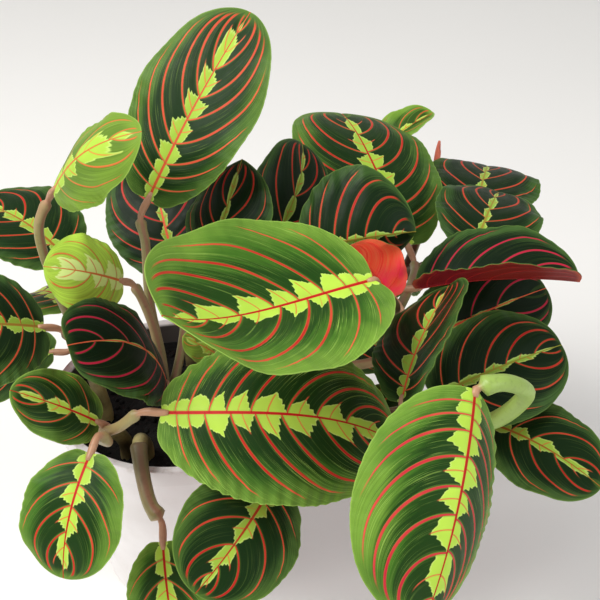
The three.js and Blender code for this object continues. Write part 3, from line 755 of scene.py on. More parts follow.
def stalk_radius(leaf):
    """Clasping at the stem, sheathed up to a small collar, then the swollen joint and a slim end."""
    joint = leaf.joint + COLLAR_GAP

    def radius(left, total):
        clasp = (SHOOT_RADIUS - SHEATH_RADIUS) * 0.9 * math.exp(-(total - left) / CLASP_LENGTH)
        if left > joint:
            return leaf.sheath * (0.94 + 0.14 * math.exp(-((left - joint - 1.5) / 2.2) ** 2)) + clasp
        t = left / joint
        swell = 0.62 + 0.5 * math.sin(math.pi * min(1, 0.15 + 0.8 * t)) ** 1.5
        return PULVINUS_RADIUS * swell + 0.25 * t**6 + clasp

    return radius


def shoot_piece(shoot, blades, look):
    """One grown shoot: its stem, and a stalk for each of its blades. Each point keeps its distance from the
    far end, the whole length and how near the sheath's seam is, and then whether it is on the stem, how pale
    its stalk is and how long the stalk's joint."""
    points, runs, kinds, faces = [], [], [], []
    angle = angles(look.sides)
    near = np.exp(-((np.minimum(angle, 2 * math.pi - angle) / SEAM_ANGLE) ** 2))

    def add(route, radius_at, groove_from, kind):
        line, run = curve_points(route, TUBE_STEP)
        left = run[-1] - run
        radius = np.array([radius_at(x, run[-1]) for x in left])
        groove = 0 if groove_from is None else smooth_step(groove_from, groove_from + 6, left)[:, None]
        radii = radius[:, None] * (1 + 0.08 * groove * np.cos(2 * angle) - 0.3 * groove * near)
        faces.extend(tube_faces(sum(map(len, points)), len(line), look.sides))
        points.append(swept(line, TUBE_SIDE, radii).reshape(-1, 3))
        runs.append(np.stack(np.broadcast_arrays(left[:, None], run[-1], near), axis=2).reshape(-1, 3))
        kinds.append(np.broadcast_to(kind, runs[-1].shape))

    stem = [np.array(p, float) for p in shoot.stem]
    foot = np.array([*stem[0][:2], SOIL_TOP - FOOT_DEPTH])
    add([foot, *stem], stem_radius, None, (1, 0, 0))
    for blade in blades:
        leaf = blade.leaf
        add(stalk_route(blade, stem[leaf.at]), stalk_radius(leaf), leaf.joint, (0, leaf.pale, leaf.joint))
    piece = grown_piece(shoot.name, np.concatenate(points), faces)
    keep_vectors(piece, "run", np.concatenate(runs))
    keep_vectors(piece, "kind", np.concatenate(kinds))
    return piece


def rolled_piece(blade, look):
    """A young leaf still rolled up: a slim spindle with its outer margin wound round it."""
    leaf = blade.leaf
    top = np.array(leaf.tip, float)
    line, run = curve_points([blade.start, (blade.start + top) / 2, top], 0.6)
    sides = 2 * look.sides
    share = (run / run[-1])[:, None]
    lap = (angles(sides) / (2 * math.pi) + 1.4 * share) % 1
    swell = 0.16 + 0.84 * np.sin(math.pi * np.minimum(0.97, 0.1 + 0.87 * share)) ** 0.7
    points = swept(line, np.array([1.0, 0, 0]), leaf.width / 2 * swell * (0.82 + 0.2 * lap))
    piece = grown_piece(leaf.name, points.reshape(-1, 3), tube_faces(0, len(line), sides))
    keep_vectors(piece, "run", np.stack(np.broadcast_arrays(share, lap, 0.0), axis=2).reshape(-1, 3))
    return piece


# Pot and soil


def wall_radius(z):
    """The radius of the pot's outside at this height."""
    return POT_BASE_RADIUS + (POT_TOP_RADIUS - POT_BASE_RADIUS) * z / POT_HEIGHT


def rounded(profile, cut, steps=4):
    """A closed (radius, height) profile with its corners off the axis rounded."""
    out = []
    corners = np.array(profile, float)
    for before, corner, after in zip(np.roll(corners, 1, 0), corners, np.roll(corners, -1, 0)):
        if corner[0] == 0:
            out.append(corner)
            continue
        reach = min(cut, 0.45 * np.linalg.norm(before - corner), 0.45 * np.linalg.norm(after - corner))
        a = corner + unit(before - corner) * reach
        b = corner + unit(after - corner) * reach
        for t in np.linspace(0, 1, steps + 1):
            out.append(a * (1 - t) ** 2 + corner * 2 * t * (1 - t) + b * t * t)
    return out


def turned(profile, sectors):
    """Points and faces of a profile that starts and ends on the axis, turned about it."""
    points, faces = [(0, 0, profile[0][1])], []
    for radius, z in profile[1:-1]:
        points += [(radius * math.cos(a), radius * math.sin(a), z) for a in angles(sectors)]
    points.append((0, 0, profile[-1][1]))
    rows = len(profile) - 2
    last = len(points) - 1
    for k in range(sectors):
        n = (k + 1) % sectors
        faces.append((0, 1 + n, 1 + k))
        for r in range(rows - 1):
            a, b = 1 + r * sectors, 1 + (r + 1) * sectors
            faces.append((a + k, a + n, b + n, b + k))
        faces.append((last, 1 + (rows - 1) * sectors + k, 1 + (rows - 1) * sectors + n))
    return points, faces


def pot_piece():
    """The tapered growing pot, with rounded edges and its drain holes cut through."""
    rim_foot = POT_HEIGHT - RIM_HEIGHT
    outline = [
        (0, 0),
        (POT_BASE_RADIUS, 0),
        (wall_radius(rim_foot), rim_foot),
        (wall_radius(rim_foot) + RIM_OUT, rim_foot),
        (POT_TOP_RADIUS + RIM_OUT, POT_HEIGHT),
        (POT_TOP_RADIUS - POT_WALL, POT_HEIGHT),
        (wall_radius(POT_FLOOR) - POT_WALL, POT_FLOOR),
        (0, POT_FLOOR),
    ]
    points, faces = turned(rounded(outline, POT_EDGE), POT_SIDES)
    uncut = smooth_mesh("growing_pot", (np.array(points) * MM).tolist(), faces)
    piece = new_piece("growing_pot", uncut)
    cutter = drain_cutter()
    cut = piece.modifiers.new("drains", "BOOLEAN")
    cut.operation = "DIFFERENCE"
    cut.solver = "EXACT"
    cut.object = cutter
    bpy.context.view_layer.update()
    mesh = bpy.data.meshes.new_from_object(piece.evaluated_get(bpy.context.evaluated_depsgraph_get()))
    mesh.set_sharp_from_angle(angle=POT_SHARP_ANGLE)
    piece.modifiers.clear()
    piece.data = mesh
    bpy.data.meshes.remove(uncut)
    bpy.data.objects.remove(cutter)
    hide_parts("pot")
    return piece


def drain_cutter():
    """Upright cylinders through the pot's floor."""
    shape = bmesh.new()
    radius = DRAIN_RADIUS * MM
    for a in angles(DRAIN_COUNT):
        made = bmesh.ops.create_cone(
            shape, cap_ends=True, segments=DRAIN_SIDES, radius1=radius, radius2=radius,
            depth=4 * POT_FLOOR * MM,
        )
        place = Vector((DRAIN_CIRCLE * math.cos(a), DRAIN_CIRCLE * math.sin(a), POT_FLOOR / 2)) * MM
        bmesh.ops.translate(shape, verts=made["verts"], vec=place)
    return add_object("drain_cutter", finished_mesh("drain_cutter", shape))


def soil_height(x, y):
    """The level of the crowned surface in millimetres, and how rough it is there, about 0 either way."""
    share = math.hypot(x, y) / POT_TOP_RADIUS
    crown = SOIL_CROWN * max(0, 1 - share**2)
    place = Vector((x, y, 0))
    lumps = noise.turbulence(place * 0.09, 4, False, noise_basis="PERLIN_ORIGINAL") - 0.45
    grit = noise.turbulence(place * 0.42, 3, True, noise_basis="PERLIN_ORIGINAL") - 0.3
    return SOIL_TOP + crown, lumps + 0.55 * grit


def soil_piece(look):
    """The body of the soil down to the pot's floor, with a clodded top."""
    floor = POT_FLOOR + GAP
    wide = wall_radius(SOIL_TOP) - POT_WALL - GAP
    profile = [(0, floor), (wall_radius(floor) - POT_WALL - GAP, floor)]
    profile += [(wide * (1 - k / SOIL_RINGS), 0) for k in range(SOIL_RINGS)] + [(0, 0)]
    points, faces = turned(profile, SOIL_SIDES)
    for k in range(1 + SOIL_SIDES, len(points)):
        x, y, _ = points[k]
        level, rough = soil_height(x, y)
        edge = min(1, (wide - math.hypot(x, y)) / 3)
        points[k] = (x, y, level + look.clod / MM * rough * edge)
    mesh = smooth_mesh("potting_soil", (np.array(points) * MM).tolist(), faces)
    piece = new_piece("potting_soil", mesh)
    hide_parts("soil")
    return piece


def crumb_piece(look):
    """Loose crumbs lying on the soil, each a dented ball sunk a third of its height."""
    pick = random.Random(CRUMB_SEED)
    shape = bmesh.new()
    for _ in range(look.crumbs):
        reach = (wall_radius(SOIL_TOP) - POT_WALL - 5) * math.sqrt(pick.random())
        turn = pick.uniform(0, 2 * math.pi)
        x, y = reach * math.cos(turn), reach * math.sin(turn)
        level, rough = soil_height(x, y)
        size = pick.uniform(*CRUMB_SIZE) if pick.random() < CRUMB_SHARE else pick.uniform(*LARGE_CRUMB_SIZE)
        made = bmesh.ops.create_icosphere(shape, subdivisions=2, radius=size)
        centre = Vector((x, y, level + look.clod / MM * rough + 0.3 * size))
        stretch = Vector((pick.uniform(0.7, 1.25), pick.uniform(0.7, 1.25), pick.uniform(0.55, 0.9)))
        shift = Vector((pick.uniform(0, 99), 0, 0))
        for vert in made["verts"]:
            dent = 1 + 0.35 * noise.noise(vert.co * (1.1 / size) + shift)
            vert.co = (vert.co * stretch * dent + centre) * MM
    mesh = finished_mesh("soil_crumbs", shape)
    mesh.shade_smooth()
    return new_piece("soil_crumbs", mesh)


# Materials


class Signal:
    """What a node gives out. Arithmetic with it and its methods each add one node that reads it."""

    def __init__(self, finish, socket):
        self.finish = finish
        self.socket = socket

    def __add__(self, other):
        return self.finish.math("ADD", self, other)

    def __sub__(self, other):
        return self.finish.math("SUBTRACT", self, other)

    def __rsub__(self, other):
        return self.finish.math("SUBTRACT", other, self)

    def __mul__(self, other):
        return self.finish.math("MULTIPLY", self, other)

    def __truediv__(self, other):
        return self.finish.math("DIVIDE", self, other)

    def __abs__(self):
        return self.finish.math("ABSOLUTE", self)

    def ease(self, low, high, to_low=0.0, to_high=1.0):
        """to_low up to low, to_high from high on, and a smooth step between."""
        limits = {"Value": self, "From Min": low, "From Max": high, "To Min": to_low, "To Max": to_high}
        return self.finish.node("ShaderNodeMapRange", "Result", limits, interpolation_type="SMOOTHSTEP")

    def curve(self, *points):
        """A number that goes through the points (x, y), each from 0 to 1."""
        ramp = self.finish.tree.nodes.new("ShaderNodeValToRGB")
        elements = ramp.color_ramp.elements
        while len(elements) < len(points):
            elements.new(0.5)
        for element, (at, value) in zip(elements, points):
            element.position = at
            element.color = (value, value, value, 1)
        self.finish.feed(ramp.inputs[0], self)
        return Signal(self.finish, ramp.outputs[0])

    def noise(self, scale, detail=3.0, roughness=0.55):
        """Noise of this scale at the place that this vector gives."""
        inputs = {"Vector": self, "Scale": scale, "Detail": detail, "Roughness": roughness}
        return self.finish.node("ShaderNodeTexNoise", "Fac", inputs)

    def mix(self, a, b):
        """The colour a where this is 0, and b where it is 1."""
        return self.finish.node("ShaderNodeMix", 2, {"Factor": self, 6: a, 7: b}, data_type="RGBA")

    def bump(self, distance, strength):
        """The normal of a surface that this raises by up to the distance."""
        inputs = {"Height": self, "Distance": distance, "Strength": strength}
        return self.finish.node("ShaderNodeBump", 0, inputs)


class Finish:
    """A material under construction."""

    def __init__(self, name):
        self.material = bpy.data.materials.new(name)
        self.material.use_nodes = True
        self.tree = self.material.node_tree
        self.tree.nodes.clear()

    def node(self, kind, output, inputs=(), **settings):
        """Adds a node, feeds its inputs, given by name or number, and gives back one of its outputs."""
        made = self.tree.nodes.new(kind)
        for key, value in settings.items():
            setattr(made, key, value)
        for key, value in dict(inputs).items():
            self.feed(made.inputs[key], value)
        return Signal(self, made.outputs[output])

    def feed(self, socket, value):
        """Links a Signal to the socket, or sets the socket to a colour or a number."""
        if isinstance(value, Signal):
            self.tree.links.new(value.socket, socket)
        elif socket.type == "RGBA":
            socket.default_value = (*value, 1)
        else:
            socket.default_value = value

    def math(self, operation, *values):
        """The result of one Math node."""
        return self.node("ShaderNodeMath", 0, enumerate(values), operation=operation)

    def vector(self, x, y, z):
        """One vector from three numbers."""
        return self.node("ShaderNodeCombineXYZ", 0, enumerate((x, y, z)))

    def split(self, vector):
        """The three numbers of a vector."""
        made = self.tree.nodes.new("ShaderNodeSeparateXYZ")
        self.feed(made.inputs[0], vector)
        return [Signal(self, output) for output in made.outputs]

    def read(self, name):
        """The three numbers kept at each point under this name."""
        return self.split(self.node("ShaderNodeAttribute", "Vector", attribute_name=name))

    def place(self):
        """Where a point lies in the plant's frame, in metres."""
        return self.node("ShaderNodeTexCoord", "Object")

    def shade(self, base, roughness, normal, specular=0.5, through=None):
        """A Principled surface. Some of the light comes through it if it has a colour for that."""
        inputs = {"Base Color": base, "Roughness": roughness, "Normal": normal}
        inputs["Specular IOR Level"] = specular
        surface = self.node("ShaderNodeBsdfPrincipled", 0, inputs)
        if through is not None:
            thin = self.node("ShaderNodeBsdfTranslucent", 0, {"Color": through, "Normal": normal})
            surface = self.node("ShaderNodeMixShader", 0, {0: LIGHT_THROUGH, 1: surface, 2: thin})
        self.feed(self.tree.nodes.new("ShaderNodeOutputMaterial").inputs[0], surface)
        return self.material


def layered(colour, *coats):
    """Lays each coat's colour over what is below it, as far as its mask says."""
    for mask, coat in coats:
        colour = mask.mix(colour, coat)
    return colour


class BladeFinish(Finish):
    """One face of the blades, with what both faces draw from: where a point lies on its blade, how near it
    is to the ribs, and the blade's own values. Distances on the blade are millimetres."""

    def __init__(self, name, look):
        super().__init__(name)
        self.look = look
        self.u, self.v, self.away = self.read("place")
        left, right, self.spacing = self.read("ribs")
        self.margin, self.hue, self.bead = self.read("border")
        self.lime, self.seed, half = self.read("mark")
        self.dark, self.young, self.painted_glow = self.read("tone")
        self.count, self.stripes, _ = self.read("veins")
        self.where = self.place()
        self.out = abs(self.v)
        self.side = self.math("SIGN", self.v)
        self.number = left + self.math("GREATER_THAN", self.v, 0.0) * (right - left)
        self.fraction = self.math("FRACT", self.number)
        self.past_first = self.math("GREATER_THAN", self.number, 0.5)
        self.gap = abs(self.number - self.math("ROUND", self.number)) * self.spacing
        self.share = half / (REFERENCE_WIDTH / 2)
        self.thick = self.math("SQRT", self.share)
        self.rib_width = look.rib_width / MM
        self.midrib_width = look.midrib_width / MM

    def rib_mask(self):
        """1 on a rib, which is slim at the midrib, widest half way out and gone before the margin."""
        profile = self.out.curve((0, 0.5), (0.18, 0.74), (0.45, 1.0), (0.7, 0.86), (0.88, 0.5), (1, 0.2))
        half = profile * self.number.ease(0.8, 4.0, 0.6, 1.0) * self.thick * (0.5 * self.rib_width)
        line = self.gap.ease(half * 1.3, half * 0.8)
        before_last = self.math("LESS_THAN", self.number, self.count - 0.5)
        shaky = self.vector(self.number, self.away * 0.12, self.seed).noise(1.6, 2.0)
        stop = self.margin / self.share - shaky * 2.4
        return line * self.past_first * (stop.ease(1.0, 3.6) * before_last)

    def midrib_mask(self):
        """1 on the midrib, which is three times as wide at the base as at the tip."""
        width = self.u.ease(0.0, 1.0, 0.5, 0.16) * self.midrib_width * self.thick
        return self.away.ease(width, width * 0.65)

    def lime_depth(self, reach):
        """How far a point is inside the lobes of the lime band, one between each two ribs. They are rounded
        near the base, and pointed and toothed further on. A beaded band is pinched at every rib."""
        along = self.number / self.count
        rounded_lobe = self.fraction.curve(
            (0, 0.78), (0.12, 0.9), (0.35, 1.0), (0.6, 1.0), (0.84, 0.94), (0.97, 0.78), (1, 0.76)
        )
        pinched = self.fraction.curve(
            (0, 0.2), (0.12, 0.6), (0.35, 1.0), (0.6, 1.0), (0.84, 0.65), (0.97, 0.2), (1, 0.2)
        )
        ragged = self.fraction.curve(
            (0, 0.6), (0.1, 0.66), (0.18, 0.76), (0.32, 0.82), (0.44, 1.0), (0.5, 0.98), (0.55, 0.76),
            (0.66, 0.68), (0.71, 0.5), (0.82, 0.42), (0.87, 0.22), (0.95, 0.14), (1, 0.1),
        )
        size = along.curve(
            (0, 0.45), (0.08, 0.62), (0.2, 0.76), (0.35, 0.92), (0.47, 1.0), (0.6, 0.96), (0.72, 0.84),
            (0.82, 0.68), (0.9, 0.46), (0.96, 0.2), (1, 0),
        )
        rounded_lobe = pinched * self.bead + rounded_lobe * (1.0 - self.bead)
        further = along.ease(0.22, 0.4) * (1.0 - self.bead)
        lobe = ragged * further + rounded_lobe * (1.0 - further)
        teeth = (self.vector(self.number * 4.2, self.seed, 0.0).noise(2.0, 2.0) - 0.5) * 0.34
        own = self.vector(self.math("FLOOR", self.number), self.seed * 3.7, self.side).noise(1.3, 0.0)
        return (lobe + teeth) * size * reach * self.share * own.ease(0.3, 0.7, 0.84, 1.16) - self.away

    def rib_red(self, cloud):
        """Salmon at the midrib, deep red half way out, orange at the ends. The hue turns it to crimson."""
        look, hue = self.look, self.hue
        border = self.gap.ease(0.2 * self.rib_width, 0.55 * self.rib_width, 0.0, 0.7)
        orange = self.math("MAXIMUM", border, cloud.ease(0.35, 0.7, 0.0, 0.35))
        return layered(
            self.out.ease(0.05, 0.3).mix(look.rib_start_colour, look.rib_colour),
            (self.out.ease(0.6, 0.95), look.rib_end_colour),
            (self.number.ease(4.0, 1.0, 0.0, 0.7), look.rib_end_colour),
            (hue.ease(0.5, 1.0), look.crimson_colour),
            (hue.ease(0.5, 0.0, 0.0, 0.8), look.rib_end_colour),
            (orange * hue.ease(0.7, 1.0, 1.0, 0.15), look.rib_end_colour),
            (self.dark.ease(0.6, 1.0, 0.0, 0.25), look.under_colour),
            (self.young, look.young_rib_colour),
        )

    def midrib_red(self):
        """Deep red with salmon borders. On a dark leaf it is green, or orange by the leaf's hue."""
        look, hue = self.look, self.hue
        wide = self.away / (0.5 * self.midrib_width)
        on_dark = hue.ease(0.5, 0.65).mix(look.young_colour, look.rib_end_colour)
        return layered(
            wide.ease(0.25, 0.95).mix(look.rib_colour, look.rib_start_colour),
            (hue.ease(0.5, 0.0, 0.0, 0.9), look.rib_end_colour),
            (self.dark.ease(0.6, 1.0, 0.0, 0.8), on_dark),
            (self.young, look.young_rib_colour),
        )


def upper_face(look):
    """The upper face: lime band, red ribs, dark zone between them and light streaked margins."""
    face = BladeFinish("leaf_upper_face", look)
    u, out, number, seed, margin = face.u, face.out, face.number, face.seed, face.margin
    dark, young, painted_glow = face.dark, face.young, face.painted_glow

    # Streaks run with the ribs: fine across them and long beside them.
    beside = face.away * 0.045
    streak = face.vector(number * 9.0, beside, seed).noise(1.5, 3.0, 0.6)
    hair = face.vector(number * 25.0, beside * 0.9, seed).noise(1.4, 2.0)
    cloud = face.where.noise(42.0)

    # Dark zone, with streaked edges towards the margin and none at the very base
    reach = out + (streak - 0.5) * 0.55 - dark * 0.36 + (0.5 - face.fraction) * 0.3
    from_base = u + dark * 0.16 + (0.6 - out) * 0.3
    from_tip = u - dark * 0.1
    zone = reach.ease(0.26, 0.62, 1.0, 0.0) * from_base.ease(0.12, 0.3) * from_tip.ease(0.95, 0.84)
    dark_green = dark.mix(look.dark_colour, look.darkest_colour)
    pale = face.math("MAXIMUM", (out + (cloud - 0.5) * 0.9).ease(0.5, 1.05), u.ease(0.12, 0.02, 0.0, 0.6))
    pale = face.math("MAXIMUM", pale, u.ease(0.86, 0.96, 0.0, 0.8))
    light = layered(
        pale.mix(look.mid_colour, look.light_colour),
        (dark.ease(0.3, 0.9, 0.0, 0.92), pale.mix(look.shade_colour, look.shade_edge_colour)),
        (young * 0.9, look.young_colour),
        # Painted light: a young leaf with painted glow is brightened towards lime, as if lit through from
        # behind.
        (young * painted_glow * 0.8, look.lime_colour),
    )
    stripe = hair.ease(0.58, 0.66) * out.ease(0.2, 0.6, 0.15, 1.0) * cloud.ease(0.35, 0.6, 0.4, 1.0)
    stripe = stripe * dark.ease(0.6, 1.0, 1.0, 0.25)
    crinkle = face.vector(u * 34.0, seed, face.side).noise(2.0, 2.0).ease(0.35, 0.65)
    crinkle = crinkle * (margin.ease(3.6, 0.4) * u.ease(0.75, 0.25, 0.25, 1.0))
    edge = margin.ease(0.7, 0.1) * dark.ease(0.4, 1.0, 0.6, 0.15)

    # Lime band
    reach = face.lime * LIME_REACH * u.ease(0.86, 0.97, 1.0, 0.1)
    depth = face.lime_depth(reach)
    lime_green = layered(
        cloud.ease(0.3, 0.7, 0.0, 0.3).mix(look.lime_colour, look.young_colour),
        (dark.ease(0.2, 0.8, 0.0, 0.55), look.young_colour),
        (dark.ease(0.65, 1.0, 0.0, 0.5), look.light_colour),
        # Painted light: a young leaf's band is brightened to the pale lime edge colour as far as it has
        # painted glow, and toned to young green elsewhere.
        (young * (1.0 - painted_glow) * 0.45, look.young_colour),
        (young * painted_glow, look.lime_edge_colour),
        (depth.ease(0.9, 0.1, 0.0, 0.4), look.lime_edge_colour),
    )

    # The thin secondary rib in the middle of each lobe is red on the band and a pale thread beyond it.
    second = (abs(face.fraction - 0.45) * face.spacing).ease(0.36, 0.16)
    second = second * u.ease(0.22, 0.34) * margin.ease(4.0, 8.0)
    in_lobe = reach * face.share - face.away
    thread = second * in_lobe.ease(0.5, -1.0, 0.0, 0.3) * dark.ease(0.35, 0.8, 1.0, 0.0)
    thread = thread * streak.ease(0.5, 0.62)

    # Ribs
    ribs, midrib = face.rib_mask(), face.midrib_mask()
    red = face.rib_red(cloud)
    halo = (face.gap - face.thick * (0.45 * face.rib_width)).ease(0.5, 0.15, 0.0, 0.4)
    halo = halo * out.ease(0.1, 0.8, 1.0, 0.2) * face.past_first * dark.ease(0.4, 1.0, 1.0, 0.25)

    skin = layered(
        light,
        (zone * (1.0 - young * 0.9), dark_green),
        (stripe * face.stripes, look.streak_colour),
        (streak.ease(0.35, 0.6, 0.2, 0.0), dark_green),
        # Painted highlight: the crinkle also lightens the colour a little towards the margin green, as light
        # on its ridges.
        (crinkle * 0.25, light),
        (edge, look.streak_colour),
        (depth.ease(-0.2, 0.2), lime_green),
        (halo, look.light_colour),
        (thread, look.streak_colour),
        (second * in_lobe.ease(0.0, 1.5, 0.0, 0.8), red),
        (ribs, red),
        (midrib, face.midrib_red()),
    )
    sheen = face.where.noise(260.0, 4.0, 0.6)
    roughness = (sheen + streak * 0.4).ease(0.4, 1.0, 0.36, 0.5)
    height = ribs * 0.8 + hair * 0.22 + sheen * 0.1 + midrib * 0.6 + crinkle * 0.6
    through = dark.ease(0.8, 0.2, 0.0, 0.25).mix(skin, look.lime_colour)
    return face.shade(skin, roughness, height.bump(0.28 * MM, 0.8), 0.13, through)


def lower_face(look):
    """The lower face: wine red with raised brighter ribs, with a painted glow of light from behind where the
    blade has one.
    """
    face = BladeFinish("leaf_lower_face", look)
    cloud = face.where.noise(60.0)
    hair = face.vector(face.number * 14.0, face.away * 0.05, face.seed).noise(1.4, 3.0, 0.6)
    strong = face.math("MAXIMUM", face.rib_mask() * 0.7, face.midrib_mask())
    # Painted backlight: as far as a blade has painted glow, its lower face is painted orange red with orange
    # streaks, crimson near the base, and its ribs the same lit orange red, as if light shone through from
    # behind.
    lit = hair.ease(0.35, 0.65).mix(look.glow_colour, look.glow_streak_colour)
    crimson = face.u.ease(0.5, 0.2) * cloud.ease(0.3, 0.5)
    skin = layered(
        hair.ease(0.35, 0.65, 0.35, 0.0).mix(look.under_colour, look.under_shade_colour),
        (face.painted_glow, crimson.mix(lit, look.glow_patch_colour)),
        (face.margin.ease(3.0, 0.3) * 0.5, look.rib_end_colour),
        (face.young * 0.8, look.young_colour),
        (strong, face.painted_glow.mix(look.rib_colour, look.glow_colour)),
    )
    roughness = hair.ease(0.3, 0.7, 0.42, 0.6)
    normal = (strong + hair * 0.2).bump(0.4 * MM, 0.8)
    return face.shade(skin, roughness, normal, 0.36, look.glow_colour)


def stalk_finish(look):
    """Olive sheaths with pinkish edges, a tan joint below the blade and a darker foot."""
    finish = Finish("stalk_skin")
    left, total, near = finish.read("run")
    is_stem, pale, joint_length = finish.read("kind")
    where = finish.place()
    cloud = where.noise(55.0, 4.0)
    grain = where.noise(420.0)
    skin = layered(
        near.ease(0.25, 0.75).mix(look.sheath_colour, look.sheath_edge_colour),
        (cloud.ease(0.45, 0.7, 0.0, 0.6), look.sheath_edge_colour),
        ((total - left).ease(45.0, 0.0, 0.0, 0.8), look.foot_colour),
        (pale * 0.85, look.pale_sheath_colour),
        ((left - joint_length).ease(2.5, -0.5), look.pulvinus_colour),
        (is_stem, cloud.ease(0.35, 0.65).mix(look.foot_colour, look.sheath_colour)),
        (grain.ease(0.5, 0.8, 0.0, 0.25), look.foot_colour),
    )
    normal = (grain + cloud * 2.0).bump(0.2 * MM, 0.7)
    return finish.shade(skin, cloud.ease(0.3, 0.7, 0.38, 0.55), normal)


def rolled_finish(look):
    """The rolled leaf: salmon red, darker along its lapped margin and greener at its foot."""
    finish = Finish("rolled_leaf")
    share, lap, _ = finish.read("run")
    streak = finish.vector(lap * 26.0, share, 0.0).noise(1.5, 2.0)
    skin = layered(
        streak.ease(0.35, 0.65, 0.0, 0.6).mix(look.rolled_colour, look.sheath_edge_colour),
        (share.ease(0.22, 0.0, 0.0, 0.8), look.sheath_colour),
        (lap.ease(0.9, 1.0, 0.0, 0.7), look.foot_colour),
    )
    return finish.shade(skin, streak.ease(0.3, 0.7, 0.4, 0.5), streak.bump(0.15 * MM, 0.8))


def pot_finish(look):
    """Grey white plastic with faint scuffs, soil dust near the rim and the foot, and dark brown on the
    inside below the lip.
    """
    finish = Finish("pot_plastic")
    where = finish.place()
    x, y, height = finish.split(where)
    cloud = where.noise(26.0, 5.0)
    scuff = where.noise(130.0, 5.0, 0.7)
    top = height.ease((POT_HEIGHT - 4) * MM, POT_HEIGHT * MM)
    dust = finish.math("MAXIMUM", top, height.ease(9 * MM, 0.0)) * scuff.ease(0.45, 0.7)
    slope = (POT_TOP_RADIUS - POT_BASE_RADIUS) / POT_HEIGHT
    wall = finish.math("MULTIPLY_ADD", height, slope, (POT_BASE_RADIUS - POT_WALL) * MM)
    inside = (finish.math("SQRT", x * x + y * y) - wall).ease(0.6 * MM, 0.1 * MM)
    # Everything inside the wall's inner face below the lip is painted dark brown.
    below_lip = height.ease((POT_HEIGHT - 0.5) * MM, (POT_HEIGHT - 2) * MM) * 0.95
    skin = layered(
        cloud.ease(0.4, 0.7, 0.0, 0.16).mix(look.pot_colour, look.dust_colour),
        (dust * 0.55, look.dust_colour),
        (inside * below_lip, look.inner_wall_colour),
    )
    return finish.shade(skin, scuff.ease(0.35, 0.7, 0.3, 0.48), scuff.bump(0.12 * MM, 0.5))


def soil_finish(look):
    """Damp dark soil with fine grit, drier in scattered patches."""
    finish = Finish("potting_soil")
    where = finish.place()
    grit = where.noise(700.0, 6.0, 0.7)
    cloud = where.noise(90.0, 4.0)
    dry = grit.ease(0.52, 0.72) * cloud.ease(0.45, 0.65) * 0.7
    skin = dry.mix(look.soil_colour, look.soil_dry_colour)
    return finish.shade(skin, cloud.ease(0.3, 0.7, 0.72, 0.95), grit.bump(0.8 * MM, 0.9), 0.2)


def floor_finish(look):
    """A pale matt floor with the faintest mottling."""
    finish = Finish("pale_floor")
    cloud = finish.place().noise(3.0)
    darker = tuple(0.97 * c for c in look.floor_colour)
    return finish.shade(cloud.mix(look.floor_colour, darker), 0.8, cloud.bump(0.1 * MM, 0.1))


# Stage


def make_floor(look):
    """A wide floor that curves up into a backdrop far behind the plant."""
    profile = [(-FLOOR_REACH, 0), (BEND_START, 0)]
    for a in np.linspace(0.1, math.pi / 2, 12):
        profile.append((BEND_START + BEND_RADIUS * math.sin(a), BEND_RADIUS * (1 - math.cos(a))))
    profile.append((BEND_START + BEND_RADIUS, BACKDROP_HEIGHT))
    points = [(x, y, z) for x in (-FLOOR_REACH, FLOOR_REACH) for y, z in profile]
    n = len(profile)
    mesh = smooth_mesh("floor", points, [(k, n + k, n + k + 1, k + 1) for k in range(n - 1)])
    floor = add_object("floor", mesh)
    dress(floor, floor_finish(look))


def make_lights(look):
    """Light from all round, a large soft lamp at the left and a weaker one at the right."""
    world = bpy.data.worlds.new("studio")
    world.use_nodes = True
    background = world.node_tree.nodes["Background"]
    background.inputs["Color"].default_value = (1.0, 0.995, 0.985, 1)
    background.inputs["Strength"].default_value = look.sky
    bpy.context.scene.world = world
    bpy.context.scene.view_settings.view_transform = "Standard"
    lamps = (
        ("key_light", (-0.75, -0.35, 1.35), 0.9, look.key_power, (1.0, 0.98, 0.95)),
        ("fill_light", (1.3, -0.9, 0.8), 1.0, look.fill_power, (0.98, 0.99, 1.0)),
    )
    for name, place, size, power, tint in lamps:
        light = bpy.data.lights.new(name, "AREA")
        light.shape = "SQUARE"
        light.size = size
        light.energy = power
        light.color = tint
        lamp = add_object(name, light)
        lamp.location = place
        lamp.rotation_mode = "QUATERNION"
        lamp.rotation_quaternion = (Vector(place) - LIGHT_AIM).to_track_quat("Z", "Y")


def make_camera(look):
    """The photograph's view: down on the plant from the front, level from side to side."""
    camera = add_object("camera", bpy.data.cameras.new("camera"))
    camera.data.sensor_width = 36
    camera.data.lens = look.lens
    camera.data.clip_start, camera.data.clip_end = 0.02, 20
    back = Vector((0, -math.cos(look.elevation), math.sin(look.elevation)))
    camera.location = CAMERA_AIM + back * look.distance
    camera.rotation_euler = (math.pi / 2 - look.elevation, 0, 0)
    bpy.context.scene.camera = camera


# Operators


def grown_shoots():
    """Every shoot with its blades worked out, numbered as in the frame's source."""
    return [
        (shoot, [Blade(leaf, (5 * i + k) * WAVE_STEP) for k, leaf in enumerate(shoot.leaves)])
        for i, shoot in enumerate(SHOOTS)
    ]


def grown_blades(rolled):
    """The open blades, or the rolled ones."""
    return [blade for _, blades in grown_shoots() for blade in blades if blade.leaf.rolled == rolled]


def dress(piece, *materials):
    """Gives a piece these materials, in this order."""
    for material in materials:
        piece.data.materials.append(material)


class PLANT_OT_set_stage(bpy.types.Operator):
    """Set the pale floor, the soft lights and the camera"""

    bl_idname = "prayer_plant.set_stage"
    bl_label = "Set the Stage"

    def execute(self, context):
        look = context.scene.plant_stage
        make_floor(look)
        make_lights(look)
        make_camera(look)
        return {"FINISHED"}


